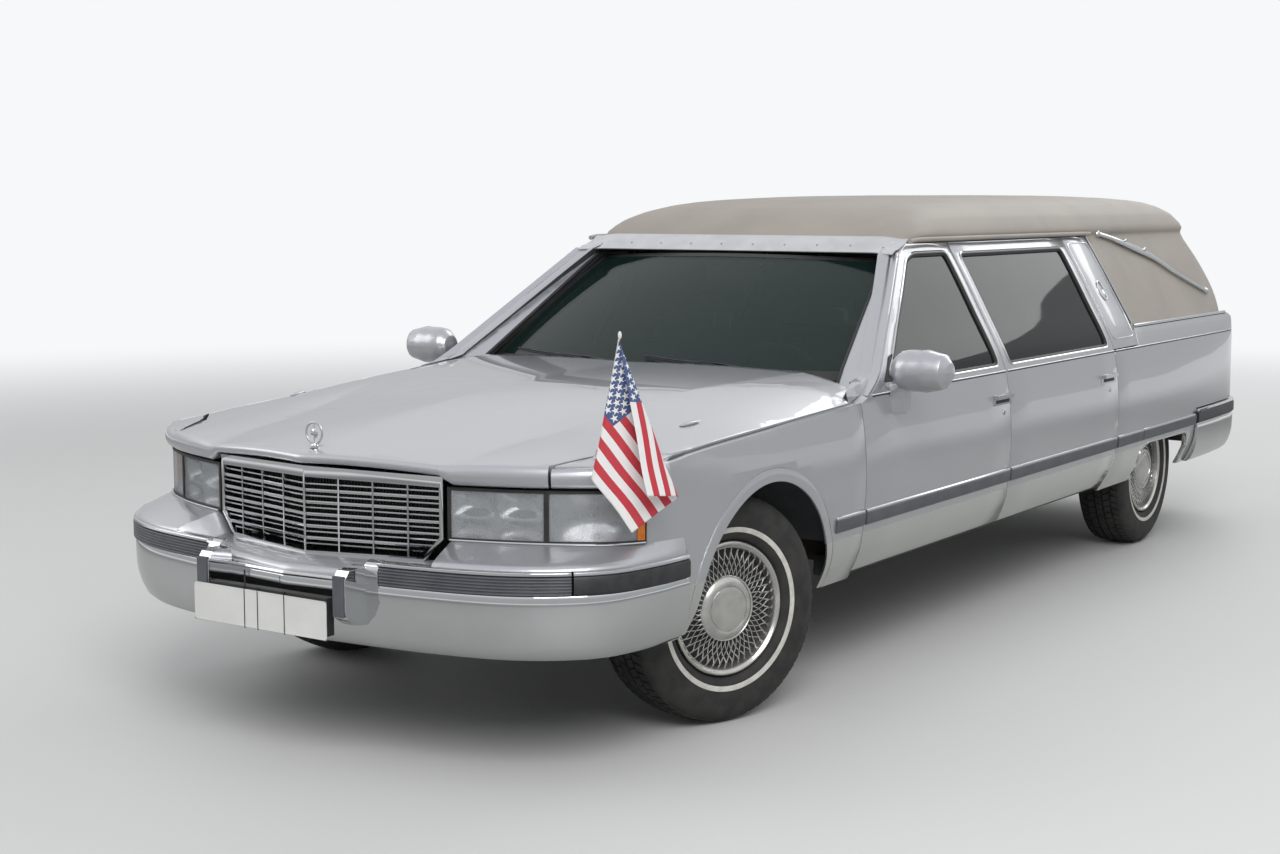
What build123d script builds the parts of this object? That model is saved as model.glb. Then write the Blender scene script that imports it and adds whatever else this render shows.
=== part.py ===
from build123d import *
import os
from math import atan2, cos, degrees, hypot, radians

# A limousine-style hearse on a long-wheelbase saloon chassis, in millimetres.
# +X is the car's left side, the nose points to -Y and +Z is up.
# The origin lies on the ground under the middle of the car.

# Driving sizes of the whole car
wheelbase = 3683
front_axle_y = -1900
rear_axle_y = front_axle_y + wheelbase
front_track = 1567
rear_track = 1542
hub_height = 357
body_half_width = 986
sill_z = 345
belt_z = 945
drip_z = 1442
roof_top_z = 1640
nose_y = -2886
tail_y = 2925
bumper_top_z = 600
bumper_wall = 44
guard_low_z = 540
guard_front_y = nose_y - 150
lamp_low_z = 648
lamp_top_z = 798
grille_half_width = 436
grille_low_z = 580
grille_top_z = 826
shut_gap = 6
seat_gap = 0.3

# Tyres, wheels and steering
tyre_radius = hub_height
tyre_width = 225
rim_radius = 193
rim_half_width = 88
flange_radius = 208
cover_spokes = 36
cover_spoke_tip = 186
tyre_flats = 48
tyre_wide_radius = 280
bead_x = rim_half_width - 6
cover_ring_radius = 99
cover_cap_radius = 70
hub_radius = 62
disc_radius = 150
rear_disc_radius = 146
spindle_radius = 22
running_gap = 0.06
kingpin_x = 690
kingpin_radius = 12
knuckle_reach = 105
rest_steer = 19.4
arch_radius = 432
liner_radius = 447
liner_wall = 6

# Panels, glass and doors
skin = 20
door_frame = 34
door_depth = 106
door_inset = 45
seal_overlap = 31
seal_near = 8
seal_far = 24
ring_near = 40
ring_far = 82
glass = 5
glass_depth = 10
roof_skin = 26
hood_skin = 22

# The frame's rails: inner and outer face, and the gearbox's rear end
rail_near_x = 376
rail_far_x = 440
gearbox_end_y = -1225

# Floor's underside along the car, y and z, with the rise over the rear axle
floor_z = 400
floor_rise = [(1300, floor_z), (1440, 556), (2150, 556), (2300, 470), (2870, 470)]

# Shut lines along the car
front_door_y = -1282
split_y = -86
rear_door_y = 1082
opera_y = 1400
vinyl_low_z = 1040

# The body's side seen from the front: half width and height, from the sill to the drip rail
side_line = [(915, 334), (962, 440), (979, 560), (body_half_width, 700), (976, 840), (960, belt_z),
             (936, 1010), (856, 1160), (786, 1290), (704, drip_z - 8)]
# The nose, the tail and the two bumpers seen from above: half width and length, from the middle outwards
nose_line = [(0, nose_y), (440, nose_y + 99), (722, nose_y + 200), (905, nose_y + 330),
             (966, nose_y + 500), (996, nose_y + 760)]
tail_line = [(0, tail_y), (840, tail_y), (915, tail_y - 45), (950, tail_y - 125), (978, 2450),
             (996, 2050)]
front_bumper_line = [(0, nose_y - 89), (440, nose_y - 44), (700, nose_y + 21), (850, nose_y + 116),
                     (935, nose_y + 226), (976, nose_y + 400), (984, nose_y + 524)]
bumper_face = [(345, -46), (420, -8), (528, 0)]
rear_bumper_line = [(0, tail_y + 105), (700, tail_y + 90), (880, tail_y + 30), (950, tail_y - 70),
                    (978, 2600), (986, 2176)]
# Hood stations: y, the heights of middle, crease and edge, and the half widths of crease and edge
hood_stations = [
    (nose_y - 40, 866, 838, 800, 432, 760),
    (nose_y + 230, 914, 878, 846, 462, 926),
    (-2330, 958, 914, 884, 500, 938),
    (-1850, 998, 985, 910, 585, 938),
    (-1130, 1022, 1016, 940, 700, 942),
]
hood_outline = [(0, nose_y - 12), (440, nose_y + 87), (716, nose_y + 188), (740, nose_y + 246),
                (776, nose_y + 360), (850, nose_y + 440), (924, nose_y + 512), (936, nose_y + 600),
                (936, front_door_y - 44), (904, front_door_y - 18), (866, -1190), (0, -1215)]
# Roof from the side (y, z) and from the front (half width, z)
roof_side = [(-452, 1422), (-430, 1448), (-300, 1534), (-90, 1590), (300, 1626), (1100, roof_top_z),
             (2350, 1634), (2640, 1590), (2735, 1500), (2800, 1300), (2852, vinyl_low_z - 30)]
roof_front = [(0, roof_top_z + 2), (330, 1632), (560, 1600), (672, 1530), (712, 1462)]
# Doors seen from the side, y and z
front_door = [(front_door_y, 372), (front_door_y, 932), (-1200, 957), (-1108, 1002), (-540, 1398),
              (-440, drip_z - 6), (split_y - 12, drip_z - 6), (split_y - 3, belt_z), (split_y - 3, 372)]
rear_door_side = [(split_y + 3, 372), (split_y + 3, drip_z - 6), (rear_door_y - 12, drip_z - 6),
                  (rear_door_y, belt_z), (rear_door_y, 540), (rear_door_y - 60, 372)]
front_window = [(-1040, 1000), (-500, 1380), (-430, 1398), (split_y - 58, 1398), (split_y - 52, 975),
                (-1000, 975)]
rear_window = [(split_y + 56, 975), (split_y + 56, 1390), (rear_door_y - 70, 1390),
               (rear_door_y - 56, 975)]
# Rear loading door seen from behind, half width and height
loading_door = [(660, 612), (660, 1000), (535, 1520), (480, 1552)]
loading_gap = 15
loading_depth = 52
loading_hinge_x = 666
loading_hinge_y = tail_y + 20
loading_hinge_z = (700, 900)
hinge_pin_radius = 7


def face(points, radii=None):
    """A closed outline; each corner has its own radius, or none."""
    line = FilletPolyline(*points, radius=radii, close=True) if radii else Polyline(*points, close=True)
    return make_face(line)


def side_prism(outline, x_low, x_high):
    """An outline in Y and Z, or its points, from x_low to x_high."""
    outline = face(outline) if isinstance(outline, list) else outline
    return Pos(x_low, 0, 0) * extrude(Plane.YZ * outline, x_high - x_low)


def front_prism(outline, y_low, y_high):
    """An outline in X and Z, or its points, from y_low to y_high."""
    outline = face(outline) if isinstance(outline, list) else outline
    return Pos(0, y_high, 0) * extrude(Plane.XZ * outline, y_high - y_low)


def plan_prism(outline, z_low, z_high):
    """An outline in X and Y, or its points, from z_low to z_high."""
    outline = face(outline) if isinstance(outline, list) else outline
    return Pos(0, 0, z_low) * extrude(outline, z_high - z_low)


def block(x, y, z):
    """A box from its (low, high) pairs."""
    size = [high - low for low, high in (x, y, z)]
    return Pos(*[(low + high) / 2 for low, high in (x, y, z)]) * Box(*size)


def rod(start, end, radius):
    """A round bar between two points."""
    axis = Vector(*end) - Vector(*start)
    return Plane(origin=start, z_dir=axis) * Cylinder(radius, axis.length,
                                                      align=(Align.CENTER, Align.CENTER, Align.MIN))


def tube(points, radius, bend):
    """A round pipe along a path with bends of one radius."""
    path = FilletPolyline(*points, radius=bend)
    start = Plane(origin=path @ 0, z_dir=path % 0)
    return sweep(start * Circle(radius), path)


def mirrored(shape):
    """The same piece on the car's other side."""
    return mirror(shape, Plane.YZ)


def both(shape):
    """A piece and its twin on the other side, as one node."""
    return Compound([*shape.solids(), *mirrored(shape).solids()])


def whole(half):
    """A half outline closed with its mirror image."""
    return half + [(-x, y) for x, y in reversed(half) if x > 0]


def side_x(z):
    """Half width of the body's side at a height."""
    for (xa, za), (xb, zb) in zip(side_line, side_line[1:]):
        if z <= zb:
            return xa + (xb - xa) * (z - za) / (zb - za)
    return side_line[-1][0]


def pushed(line, distance):
    """A half plan line moved square to itself, outwards if positive, its start kept in the middle."""
    nose = 1 if line[1][1] > line[0][1] or line[0][1] < 0 else -1
    moved = []
    for i, (x, y) in enumerate(line):
        (xa, ya), (xb, yb) = line[max(i - 1, 0)], line[min(i + 1, len(line) - 1)]
        if i == 0:
            xa, ya = -xb, yb
        length = hypot(xb - xa, yb - ya)
        moved.append((max(x + nose * (yb - ya) / length * distance, 0), y - nose * (xb - xa) / length
                      * distance))
    return moved


def side_band(near, far, y_low, y_high):
    """The layer of the left side between two depths under the skin."""
    line = [(x - near, z) for x, z in side_line] + [(x - far, z) for x, z in reversed(side_line)]
    return front_prism(line, y_low, y_high)


def body_block(inset, top):
    """Everything inside the body's side, nose and tail, less an inset, up to a height."""
    half = [(x - inset, z) for x, z in side_line if z < top] + [(side_x(top) - inset, top), (0, top),
                                                            (0, side_line[0][1])]
    section = front_prism(half, nose_y - 50, tail_y + 50)
    plan = pushed(nose_line, -inset) + pushed(tail_line, -inset)[::-1]
    return section & plan_prism(plan, 300, top + 10)


def hood_block(drop_top, drop_low):
    """A slab that follows the hood's surface, between two depths under it."""
    slices = []
    for y, middle, crease, edge, crease_x, edge_x in hood_stations:
        top = [(-edge_x, edge), (-crease_x, crease), (0, middle), (crease_x, crease), (edge_x, edge)]
        line = [(x, z - drop_top) for x, z in top] + [(x, z - drop_low) for x, z in reversed(top)]
        slices.append(Pos(0, y, 0) * (Plane.XZ * face(line)))
    return loft(slices, ruled=True)


def hood():
    """The full-width hood with its V nose, crest, two creases and the ring ornament on its post."""
    panel = hood_block(0, hood_skin) & plan_prism(whole(hood_outline), 700, 1100)
    foot_y = nose_y + 50
    post = Pos(0, foot_y, 872) * Cylinder(8, 44)
    ring = Pos(0, foot_y, 924) * Rot(90, 0, 0) * Torus(31, 3.5)
    return panel + post + ring


def front_fenders():
    """Each front wing: side skin with the round arch, the cap over the outer lamp and the arch liner."""
    side = body_block(0, 960) - body_block(skin, 1000)
    outline = [(front_door_y - shut_gap, sill_z), (front_door_y - shut_gap, 934), (-1850, 902),
               (-2330, 878), (nose_y + 440, 858), (nose_y + 386, 800), (nose_y + 386, 610),
               (nose_y + 530, 610), (nose_y + 530, sill_z)]
    hub = Pos(0, front_axle_y, hub_height) * Rot(0, 90, 0)
    opening = hub * Cylinder(arch_radius, 3000) + block((-1500, 1500),
                                                        (front_axle_y - arch_radius, front_axle_y
                                                         + arch_radius), (0, hub_height))
    wing = (side & side_prism(outline, 500, 1200)) - opening
    gap_line = [(x + shut_gap, y - shut_gap) for x, y in hood_outline[3:8]]
    cap_plan = [(742, nose_y + 214)] + pushed(nose_line, -1)[3:5] + [(946, nose_y + 560)] + gap_line[::-1]
    cap = hood_block(0, skin) & plan_prism(cap_plan, 700, 1000)
    liner_x = (462, 952)
    liner = Cylinder(liner_radius + liner_wall, liner_x[1] - liner_x[0]) - Cylinder(liner_radius, 1000)
    liner += Pos(0, 0, (liner_x[0] - liner_x[1]) / 2 - liner_wall / 2) * Cylinder(liner_radius
                                                            + liner_wall, liner_wall)
    liner = Pos((liner_x[0] + liner_x[1]) / 2, 0, 0) * hub * liner
    liner = liner & block((400, 1000), (-2600, -1300), (500, 900))
    return both(wing + cap + liner)


def quarter_panels():
    """Each rear side: skin with the low wheel opening, rounded tail corner and half of the tail wall."""
    side = body_block(0, vinyl_low_z - 4) - body_block(skin, vinyl_low_z + 60)
    outline = [(rear_door_y - 54, sill_z), (rear_door_y + shut_gap, 537),
               (rear_door_y + shut_gap, belt_z), (opera_y - 4, belt_z + 10),
               (opera_y + 22, vinyl_low_z - 4), (2780, vinyl_low_z - 4), (2950, 985), (2950, 606),
               (2170, 606), (2170, sill_z)]
    wheel = [(1418, 0), (1424, 472), (1510, 506), (2045, 500), (2080, 430), (2084, 0)]
    lamp = block((842 - seat_gap, 1100), (tail_y - 68 - seat_gap, tail_y + 50),
                 (632 - seat_gap, 938 + seat_gap))
    half_door = [(0, 612 - loading_gap)] + [(x + loading_gap, z) for x, z in loading_door]
    half_door = [(0, 400), (660 + loading_gap, 400)] + half_door[2:] + [(0, 1600)]
    shell = (side & side_prism(outline, 0, 1200)) - side_prism(wheel, 700, 1200) - lamp
    shell -= front_prism(half_door, tail_y - 150, tail_y + 100)
    half = shell & block((200, 1200), (0, 3200), (0, 1200))
    return Compound([*(half + loading_hinges(False)).solids(), *mirrored(half).solids()])


def roof_block(inset):
    """Everything inside the raised roof, less an inset."""
    arch = [(x - inset * (x > 600), z - inset * 0.9) for x, z in roof_front]
    sides = [(x - inset, z) for x, z in side_line[5:]]
    section = front_prism(arch + [(704 - inset, drip_z)] + sides[::-1] + [(0, belt_z)], -600, 3000)
    edge = [(y + inset, z - inset * 0.4) for y, z in roof_side[:3]]
    edge += [(y, z - inset) for y, z in roof_side[3:7]]
    edge += [(y - inset, z - inset * 0.4) for y, z in roof_side[7:]]
    plan = [(0, -600), (1000, -600), (1000, 2300), (940, 2600), (905, 2740), (840, 2805), (700, 2840),
            (0, 2860)]
    plan = [(max(x - inset * (x < 1000), 0), y - inset * (y > 2700)) for x, y in plan]
    return section & side_prism(edge + [(2852 - inset, belt_z), (-452 + inset, belt_z)], 0,
                                1100) & plan_prism(plan, 900, 1700)


def loading_cut(gap):
    """The rear door's outline, with a gap round it."""
    half = [(x + gap, z + (gap if z > 1400 else 0)) for x, z in loading_door]
    half[0] = (half[0][0], half[0][1] - gap)
    return half + [(-x, z) for x, z in reversed(half)]


def roof():
    """The raised padded roof: crown over the doors and full sides down to the belt behind them."""
    shell = roof_block(0) - roof_block(roof_skin)
    keep = [(-460, 1446), (-400, drip_z), (opera_y - 20, drip_z), (opera_y + 30, vinyl_low_z),
            (2900, vinyl_low_z), (2900, 1700), (-460, 1700)]
    half = shell & side_prism(keep, 0, 1100)
    half = half - front_prism(loading_cut(loading_gap), 2500, 3000)
    return half + mirrored(half)


def body_frame():
    """Inner body: sills, pillar rings round the doors, cowl, screen pillars, header and opera panels."""
    ring = side_band(ring_near, ring_far, front_door_y - 20, opera_y + 20)
    ring &= block((500, 1100), (-2000, 1360), (sill_z, drip_z - 8)) + block((500, 1100), (1360, 2000),
                                                            (belt_z, drip_z - 8))
    for door in (front_door, rear_door_side):
        ring -= side_prism(offset(face(door), -seal_overlap, kind=Kind.INTERSECTION), 400, 1200)
    ring -= side_prism([(-1400, 950), (-1112, 1000), (-545, 1402), (-440, 1436), (-440, 1500),
                        (-1400, 1500)], 400, 1200)
    seal = None
    for door in (front_door, rear_door_side):
        strip = offset(face(door), -seal_near, kind=Kind.INTERSECTION) - offset(face(door), -seal_far,
                                                            kind=Kind.INTERSECTION)
        strip = side_band(door_frame + seat_gap, ring_near + 1, -1400, 1400) & side_prism(strip, 400,
                                                            1200)
        seal = strip if seal is None else seal + strip
    jamb = side_band(skin + seat_gap, ring_far, front_door_y - 50, front_door_y - 10) & block((500, 1100),
                                                            (-2000, 0), (sill_z, 880))
    jamb += side_band(skin + seat_gap, ring_far, rear_door_y + 16, 1360) & block((500, 1100), (0, 2000),
                                                            (560, belt_z - 20))
    sill = block((800, 862), (front_door_y - 20, 1360), (sill_z, sill_z + 72))
    opera_outline = [(rear_door_y + shut_gap, belt_z + 12), (rear_door_y - 2, drip_z - 8),
                     (opera_y - 26, drip_z - 8), (opera_y + 16, vinyl_low_z), (opera_y - 8, belt_z + 14)]
    opera = side_band(0, ring_far, rear_door_y - 20, opera_y + 40) & side_prism(opera_outline, 400, 1200)
    corners = ((948, 796, -1150, -1236), (1002, 772, -1072, -1114), (1404, 640, -470, -548))
    pillar = loft([Pos(0, 0, z) * face([(glass_x, glass_y), (side_x(z), door_y),
                                        (side_x(z) - 44, door_y + 60), (glass_x - 4, glass_y + 44)])
                   for z, glass_x, glass_y, door_y in corners], ruled=True)
    door_room = side_prism(offset(face(front_door), shut_gap, kind=Kind.INTERSECTION), 400, 1200)
    pillar -= side_band(-30, ring_near, -1500, 0) & door_room
    hood_room = plan_prism(offset(face(whole(hood_outline)), shut_gap, kind=Kind.INTERSECTION), 898, 1100)
    foot = block((780, 918), (-1300, -1124), (936, 952))
    header = side_prism([(-500, 1404), (-452, 1440), (-390, 1440), (-390, 1400), (-440, 1392)], 0, 660)
    cowl = side_prism([(-1240, 880), (-1240, 940), (-1206, 972), (-1150, 972), (-1110, 920),
                       (-1110, 880)], 0, 800)
    ledge = [(0, -1186), (400, -1154), (660, -1074), (780, -1016), (780, -1000), (660, -1048),
             (400, -1126), (0, -1158)]
    cowl += plan_prism(ledge, 955, 984 - seat_gap)
    half = (ring + pillar + foot + cowl + seal - hood_room) + sill + jamb + opera + header
    half += block((600, side_x(drip_z) - ring_near), (-430, opera_y),
                  (1404, drip_z - 8)) & side_band(ring_near, 150, -430, opera_y)
    rail_x = side_line[-1][0] - ring_near
    half += block((620, rail_x), (-375, opera_y), (1420, drip_z + 8))
    half += block((620, side_line[-1][0] - roof_skin - seat_gap), (-375, opera_y), (drip_z, drip_z + 8))
    half = half.solids().sort_by(SortBy.VOLUME)[-1]
    return half + mirrored(half)


def door_shell(outline, window):
    """A left side door at its full depth: outer frame, inner box under the window, window cut out."""
    plate = face(outline)
    outer = side_band(0, door_frame, -1400, 1400) & side_prism(plate, 400, 1200)
    inset = offset(plate, -door_inset, kind=Kind.INTERSECTION)
    inner = side_band(door_frame, door_depth, -1400, 1400) & side_prism(inset, 400, 1200)
    inner &= block((400, 1200), (-2000, 2000), (0, belt_z - 15))
    inner -= block((400, 1200), (-2000, front_door_y + 110), (belt_z - 85, belt_z))
    return outer + inner - side_prism(window, 400, 1200)


def door_glass(window):
    """A curved side window that follows the tumblehome."""
    pane = offset(face(window), -seat_gap, kind=Kind.INTERSECTION)
    return side_band(glass_depth, glass_depth + glass, -1400, 1400) & side_prism(pane, 400, 1200)


def door_mirror():
    """The left door mirror: a rounded head on a stem that stands on the door's belt."""
    profile = [(968, 0), (968, 40), (1000, 66), (1090, 72), (1150, 58), (1172, 30), (1176, 0)]
    head = revolve(Plane.XZ * face([(x, z) for x, z in profile]), Axis.X)
    head = Pos(0, -1050, 1026) * head & block((900, 1200), (-1150, -1006), (900, 1150))
    stem = side_prism([(-1070, 880), (-1082, 980), (-1020, 980), (-1030, 880)], 962, 1016)
    return head + stem


def windshield():
    """The bent windscreen between the cowl, the pillars and the header."""
    pane_run = 9
    # height, and half of the outer line from the middle to the pillar
    levels = ((984, [(0, -1190), (400, -1158), (660, -1078), (780, -1020)]),
              (1390, [(0, -530), (340, -518), (560, -484), (632, -452)]))
    rows = []
    for z, line in levels:
        outer = [(-x, y) for x, y in reversed(line) if x] + line
        inner = [(x, y + pane_run) for x, y in outer]
        rows.append(Pos(0, 0, z) * face(outer + inner[::-1]))
    return loft(rows, ruled=True)


def loading_hinges(on_door):
    """The rear door's two hinges at its left edge: pins on brackets of the tail, or the door's eyes."""
    x, y, eye_radius, low_end = loading_hinge_x, loading_hinge_y, 13, (Align.CENTER, Align.CENTER,
                                                            Align.MIN)
    parts = None
    for z in loading_hinge_z:
        foot = z + 12 + seat_gap
        if on_door:
            piece = Pos(x, y, foot) * Cylinder(eye_radius, 40, align=low_end)
            piece += block((x - 60, x - 6), (tail_y - 12, y + 3), (foot, foot + 40))
            piece -= Pos(x, y, z + 30) * Cylinder(hinge_pin_radius + running_gap, 80)
        else:
            piece = Pos(x, y, z - 12) * Cylinder(eye_radius, 24, align=low_end)
            piece += Pos(x, y, z) * Cylinder(hinge_pin_radius, 56, align=low_end)
            piece += block((x, x + 50), (tail_y - 6, y + 6), (z - 12, z + 12))
        parts = piece if parts is None else parts + piece
    return parts


def loading_door_parts():
    """The single rear door, hinged at its left edge, and its window."""
    depth = [(tail_y, 590), (tail_y + 8, 760), (tail_y, 955), (2852, 1012), (2800, 1300), (2735, 1500),
             (2690, 1565)]
    slab = side_prism(depth + [(y - loading_depth, z - 4) for y, z in reversed(depth)], -700, 700)
    door = slab & front_prism(loading_cut(0), 2500, 3000)
    window = [(-520, 1080), (-440, 1440), (440, 1440), (520, 1080)]
    door = door - front_prism(window, 2500, 3000) + loading_hinges(True)
    pane_line = [(y - 16, z) for y, z in depth] + [(y - 16 - glass, z) for y, z in reversed(depth)]
    pane = side_prism(pane_line, -700, 700) & front_prism(offset(face(window), -seat_gap,
                                                            kind=Kind.INTERSECTION), 2500, 3000)
    return door, pane


def grille_frame():
    """The V grille's angle, its half length and the outline of one half in its own plane."""
    angle = degrees(atan2(nose_line[1][1] - nose_line[0][1], nose_line[1][0]))
    length = grille_half_width / cos(radians(angle))
    corner = 66
    outline = [(0, grille_low_z), (length - corner + 4, grille_low_z + 4),
               (length, grille_low_z + corner + 4), (length, grille_top_z), (0, grille_top_z + 10)]
    return angle, length, outline


def grille():
    """The V grille: a chrome surround, four columns a side, five main bars and six thin ones."""
    low, high, depth, rows, columns = grille_low_z, grille_top_z, 34, 6, 4
    angle, length, frame_points = grille_frame()
    opening = [(4, low + 10), (length - 66, low + 14), (length - 12, low + 74), (length - 12, high - 30),
               (4, high - 22)]
    filled = front_prism(frame_points, 0, depth)
    half = filled - front_prism(opening, -1, depth + 1)
    foot = low + 12
    pitch = (high - 26 - foot) / rows
    # each bar's height, thickness and its front and back
    bars = [(foot + pitch * i, 9, 4, 24) for i in range(1, rows)]
    bars += [(foot + pitch * (i + 0.5), 4, 12, 26) for i in range(rows)]
    for z, height, near, far in bars:
        half += block((0, length - 8), (near, far), (z - height / 2, z + height / 2)) & filled
    for i in range(columns):
        x = i * length / columns
        half += block((x - 2.5 * (i > 0), x + 2.5), (2, 28), (low + 4, high - 10))
    half = Pos(0, nose_y + 2, 0) * Rot(0, 0, angle) * half & block((0, 600), (-3000, -2600), (0, 1000))
    return half + mirrored(half)


def headlamps():
    """Two lamps a side, inner and outer, that follow the nose; the outer one wraps round the corner."""
    front = pushed(nose_line, -3)
    back = pushed(nose_line, -90)
    inner = [(456, front[1][1] + 6), (717, front[2][1] - 2), (717, back[2][1]), (456, back[1][1] + 10)]
    outer = [(724, front[2][1] + 2), front[3], (936, nose_y + 384), (850, nose_y + 384),
             (724, back[2][1])]
    return both(plan_prism(inner, lamp_low_z, lamp_top_z) + plan_prism(outer, lamp_low_z, lamp_top_z - 2))


def front_fascia():
    """The painted filler between bumper and lamps, open round the grille, lower between the guards."""
    line, low, top, wall = nose_line[:5], bumper_top_z + seat_gap, lamp_low_z - seat_gap, 22

    def layer(z, out):
        return Pos(0, 0, z) * face(whole(pushed(line, out)))
    shell = loft([layer(low, 82), layer(low + 12, 76), layer(top, 2)], ruled=True)
    shell -= loft([layer(low - 1, 82 - wall), layer(low + 10, 76 - wall), layer(top + 10, -26)],
                  ruled=True)
    middle = plan_prism(whole(pushed(line, 82)), guard_low_z, low)
    middle -= plan_prism(whole(pushed(line, 82 - wall)), 500, low + 1)
    shell += middle & block((-326, 326), (-3200, -2600), (500, 700))
    shell &= block((-1200, 1200), (-3200, nose_y + 386 - seat_gap), (500, 700))
    angle, _, outline = grille_frame()
    pocket = front_prism(offset(face(outline), seat_gap, kind=Kind.INTERSECTION), -90, 160)
    pocket = Pos(0, nose_y + 2, 0) * Rot(0, 0, angle) * pocket
    return shell - pocket - mirrored(pocket)


def bumper(line, levels, wall):
    """A bumper that wraps round the car: a band between its outer line and a wall, through levels."""
    slices = []
    for z, out in levels:
        outer, inner = pushed(line, out), pushed(line, out - wall)
        inner[-1] = (inner[-1][0], outer[-1][1])
        slices.append(Pos(0, 0, z) * face(outer + inner[::-1]))
    return loft(slices, ruled=True)


def front_bumper():
    """The bright front bumper with its ribbed strip and two guards."""
    half = bumper(front_bumper_line, bumper_face, bumper_wall)
    strip = bumper(front_bumper_line, [(528, 6), (bumper_top_z, 4)], bumper_wall - 4)
    half += strip - block((-1, 330), (-3200, -2700), (guard_low_z, 700))
    guard = [(-2950, 416), (-2990, 424), (guard_front_y + 4, 452), (guard_front_y, 560),
             (guard_front_y + 22, 584), (-2930, 584)]
    half += side_prism(guard, 240, 292)
    return half + mirrored(half)


def rear_bumper():
    """The bright rear bumper with its strip, round to the rear wheel openings."""
    half = bumper(rear_bumper_line, bumper_face, bumper_wall)
    half += bumper(rear_bumper_line, [(528, 6), (bumper_top_z, 4)], 40)
    return half + mirrored(half)


def tail_lamps():
    """Upright lamps in the tail's corners."""
    outer = body_block(0, 938) - body_block(26, 1000)
    return both(outer & block((842, 1100), (tail_y - 68, tail_y + 50), (632, 938)))


def landau_bars():
    """The S-shaped bright bars on the roof's rear sides, each on its end bosses."""
    # y, z and the bar's half width, which swells in the middle
    line = [(opera_y + 110, 1441, 10), (1800, 1387, 10), (2060, 1325, 18), (2300, 1231, 10),
            (2600, 1145, 10)]
    outline = [(y, z + wide) for y, z, wide in line] + [(y, z - wide) for y, z, wide in reversed(line)]
    bar = side_band(-16, -6, opera_y, 2700) & side_prism(outline, 400, 1200)
    for y, z, wide in (line[0], line[-1]):
        bar += rod((side_x(z) - 20, y, z), (side_x(z) + 20, y, z), wide + 5)
    return both(bar - roof_block(-seat_gap))


def wipers():
    """Two wiper arms with blades that lie at the foot of the windscreen."""
    arms = None
    # each arm's pivot and tip
    for (x, y), tip in (((-60, -1198), (-600, -1090, 1036)), ((500, -1180), (10, -1134, 1036))):
        piece = rod((x, y, 972 + seat_gap), (x, y, 1008), 8) + rod((x, y, 1004), tip, 5)
        arms = piece if arms is None else arms + piece
    return arms


def tyre():
    """A radial tyre as a closed ring of flats: tread, shoulders and sidewalls, on its bead."""
    half = tyre_width / 2
    # across the wheel and radius, from the bore out to the tread
    side = [(bead_x, rim_radius + seat_gap), (bead_x, flange_radius + 4), (half - 6, 240),
            (half, tyre_wide_radius), (half - 6, 322), (half - 24, tyre_radius - 8),
            (half - 50, tyre_radius)]
    section = face(side + [(-x, r) for x, r in reversed(side)])
    flats = RegularPolygon(tyre_wide_radius, tyre_flats, rotation=180 / tyre_flats)
    return sweep(Plane.XY * section, path=(Plane.YZ * flats).wire(), transition=Transition.RIGHT)


def wheel(disc):
    """A steel wheel with its hub, brake disc or drum and the wire-look cover with ring and cap."""
    w = rim_half_width
    rim = [(-w, rim_radius), (w, rim_radius), (w, flange_radius), (w + 5, flange_radius),
           (w + 5, rim_radius - 14), (-w - 5, rim_radius - 14), (-w - 5, flange_radius),
           (-w, flange_radius)]
    web = [(20, 0), (20, 120), (44, 182), (54, 182), (30, 112), (30, 0)]
    # the cover's outer face from the rim's edge to the cap, then its back
    cover = [(w - 14, 176), (w - 14, rim_radius - 10), (w + 7, flange_radius - 4), (w - 2, 190),
             (w - 8, 172), (64, cover_ring_radius + 6), (w + 2, cover_ring_radius - 6),
             (w - 8, cover_cap_radius + 8), (w + 6, cover_cap_radius - 4), (w + 12, 40), (w + 12, 0),
             (28, 0), (28, 30), (58, 60), (56, 100), (w - 26, 168)]
    body = revolve(Plane.XY * face(rim), Axis.X)
    body += revolve(Plane.XY * face(web), Axis.X)
    body += revolve(Plane.XY * face(cover), Axis.X)
    # each spoke's radius, place across the wheel, thickness and width at its foot and its tip
    spoke = loft([Plane(origin=(w - 12 + across, 0, radius), z_dir=(0, 0, 1)) * Rectangle(thick, wide)
                  for radius, across, thick, wide in ((cover_ring_radius - 4, 0, 14, 5),
                                                      (cover_spoke_tip, 2, 12, 7))], ruled=True)
    body += [Rot(360 / cover_spokes * i, 0, 0) * spoke for i in range(cover_spokes)]
    across = Rot(0, 90, 0)
    low_end = (Align.CENTER, Align.CENTER, Align.MIN)
    hub = across * Pos(0, 0, -40) * Cylinder(hub_radius, 68, align=low_end)
    brake = across * Pos(0, 0, -58) * Cylinder(disc, 22, align=low_end)
    bored = across * Pos(0, 0, -60) * Cylinder(spindle_radius + running_gap, 70, align=low_end)
    return body + hub + brake - bored


def placed(shape, side, track, y, steer):
    """A wheel piece made round the X axis, set at its hub; steered ones turn about the kingpin."""
    shape = shape if side > 0 else mirrored(shape)
    shape = Pos(side * track / 2, y, hub_height) * shape
    if steer:
        pin = Pos(side * kingpin_x, y, 0)
        shape = pin * Rot(0, 0, -steer) * pin.inverse() * shape
    return shape


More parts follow.
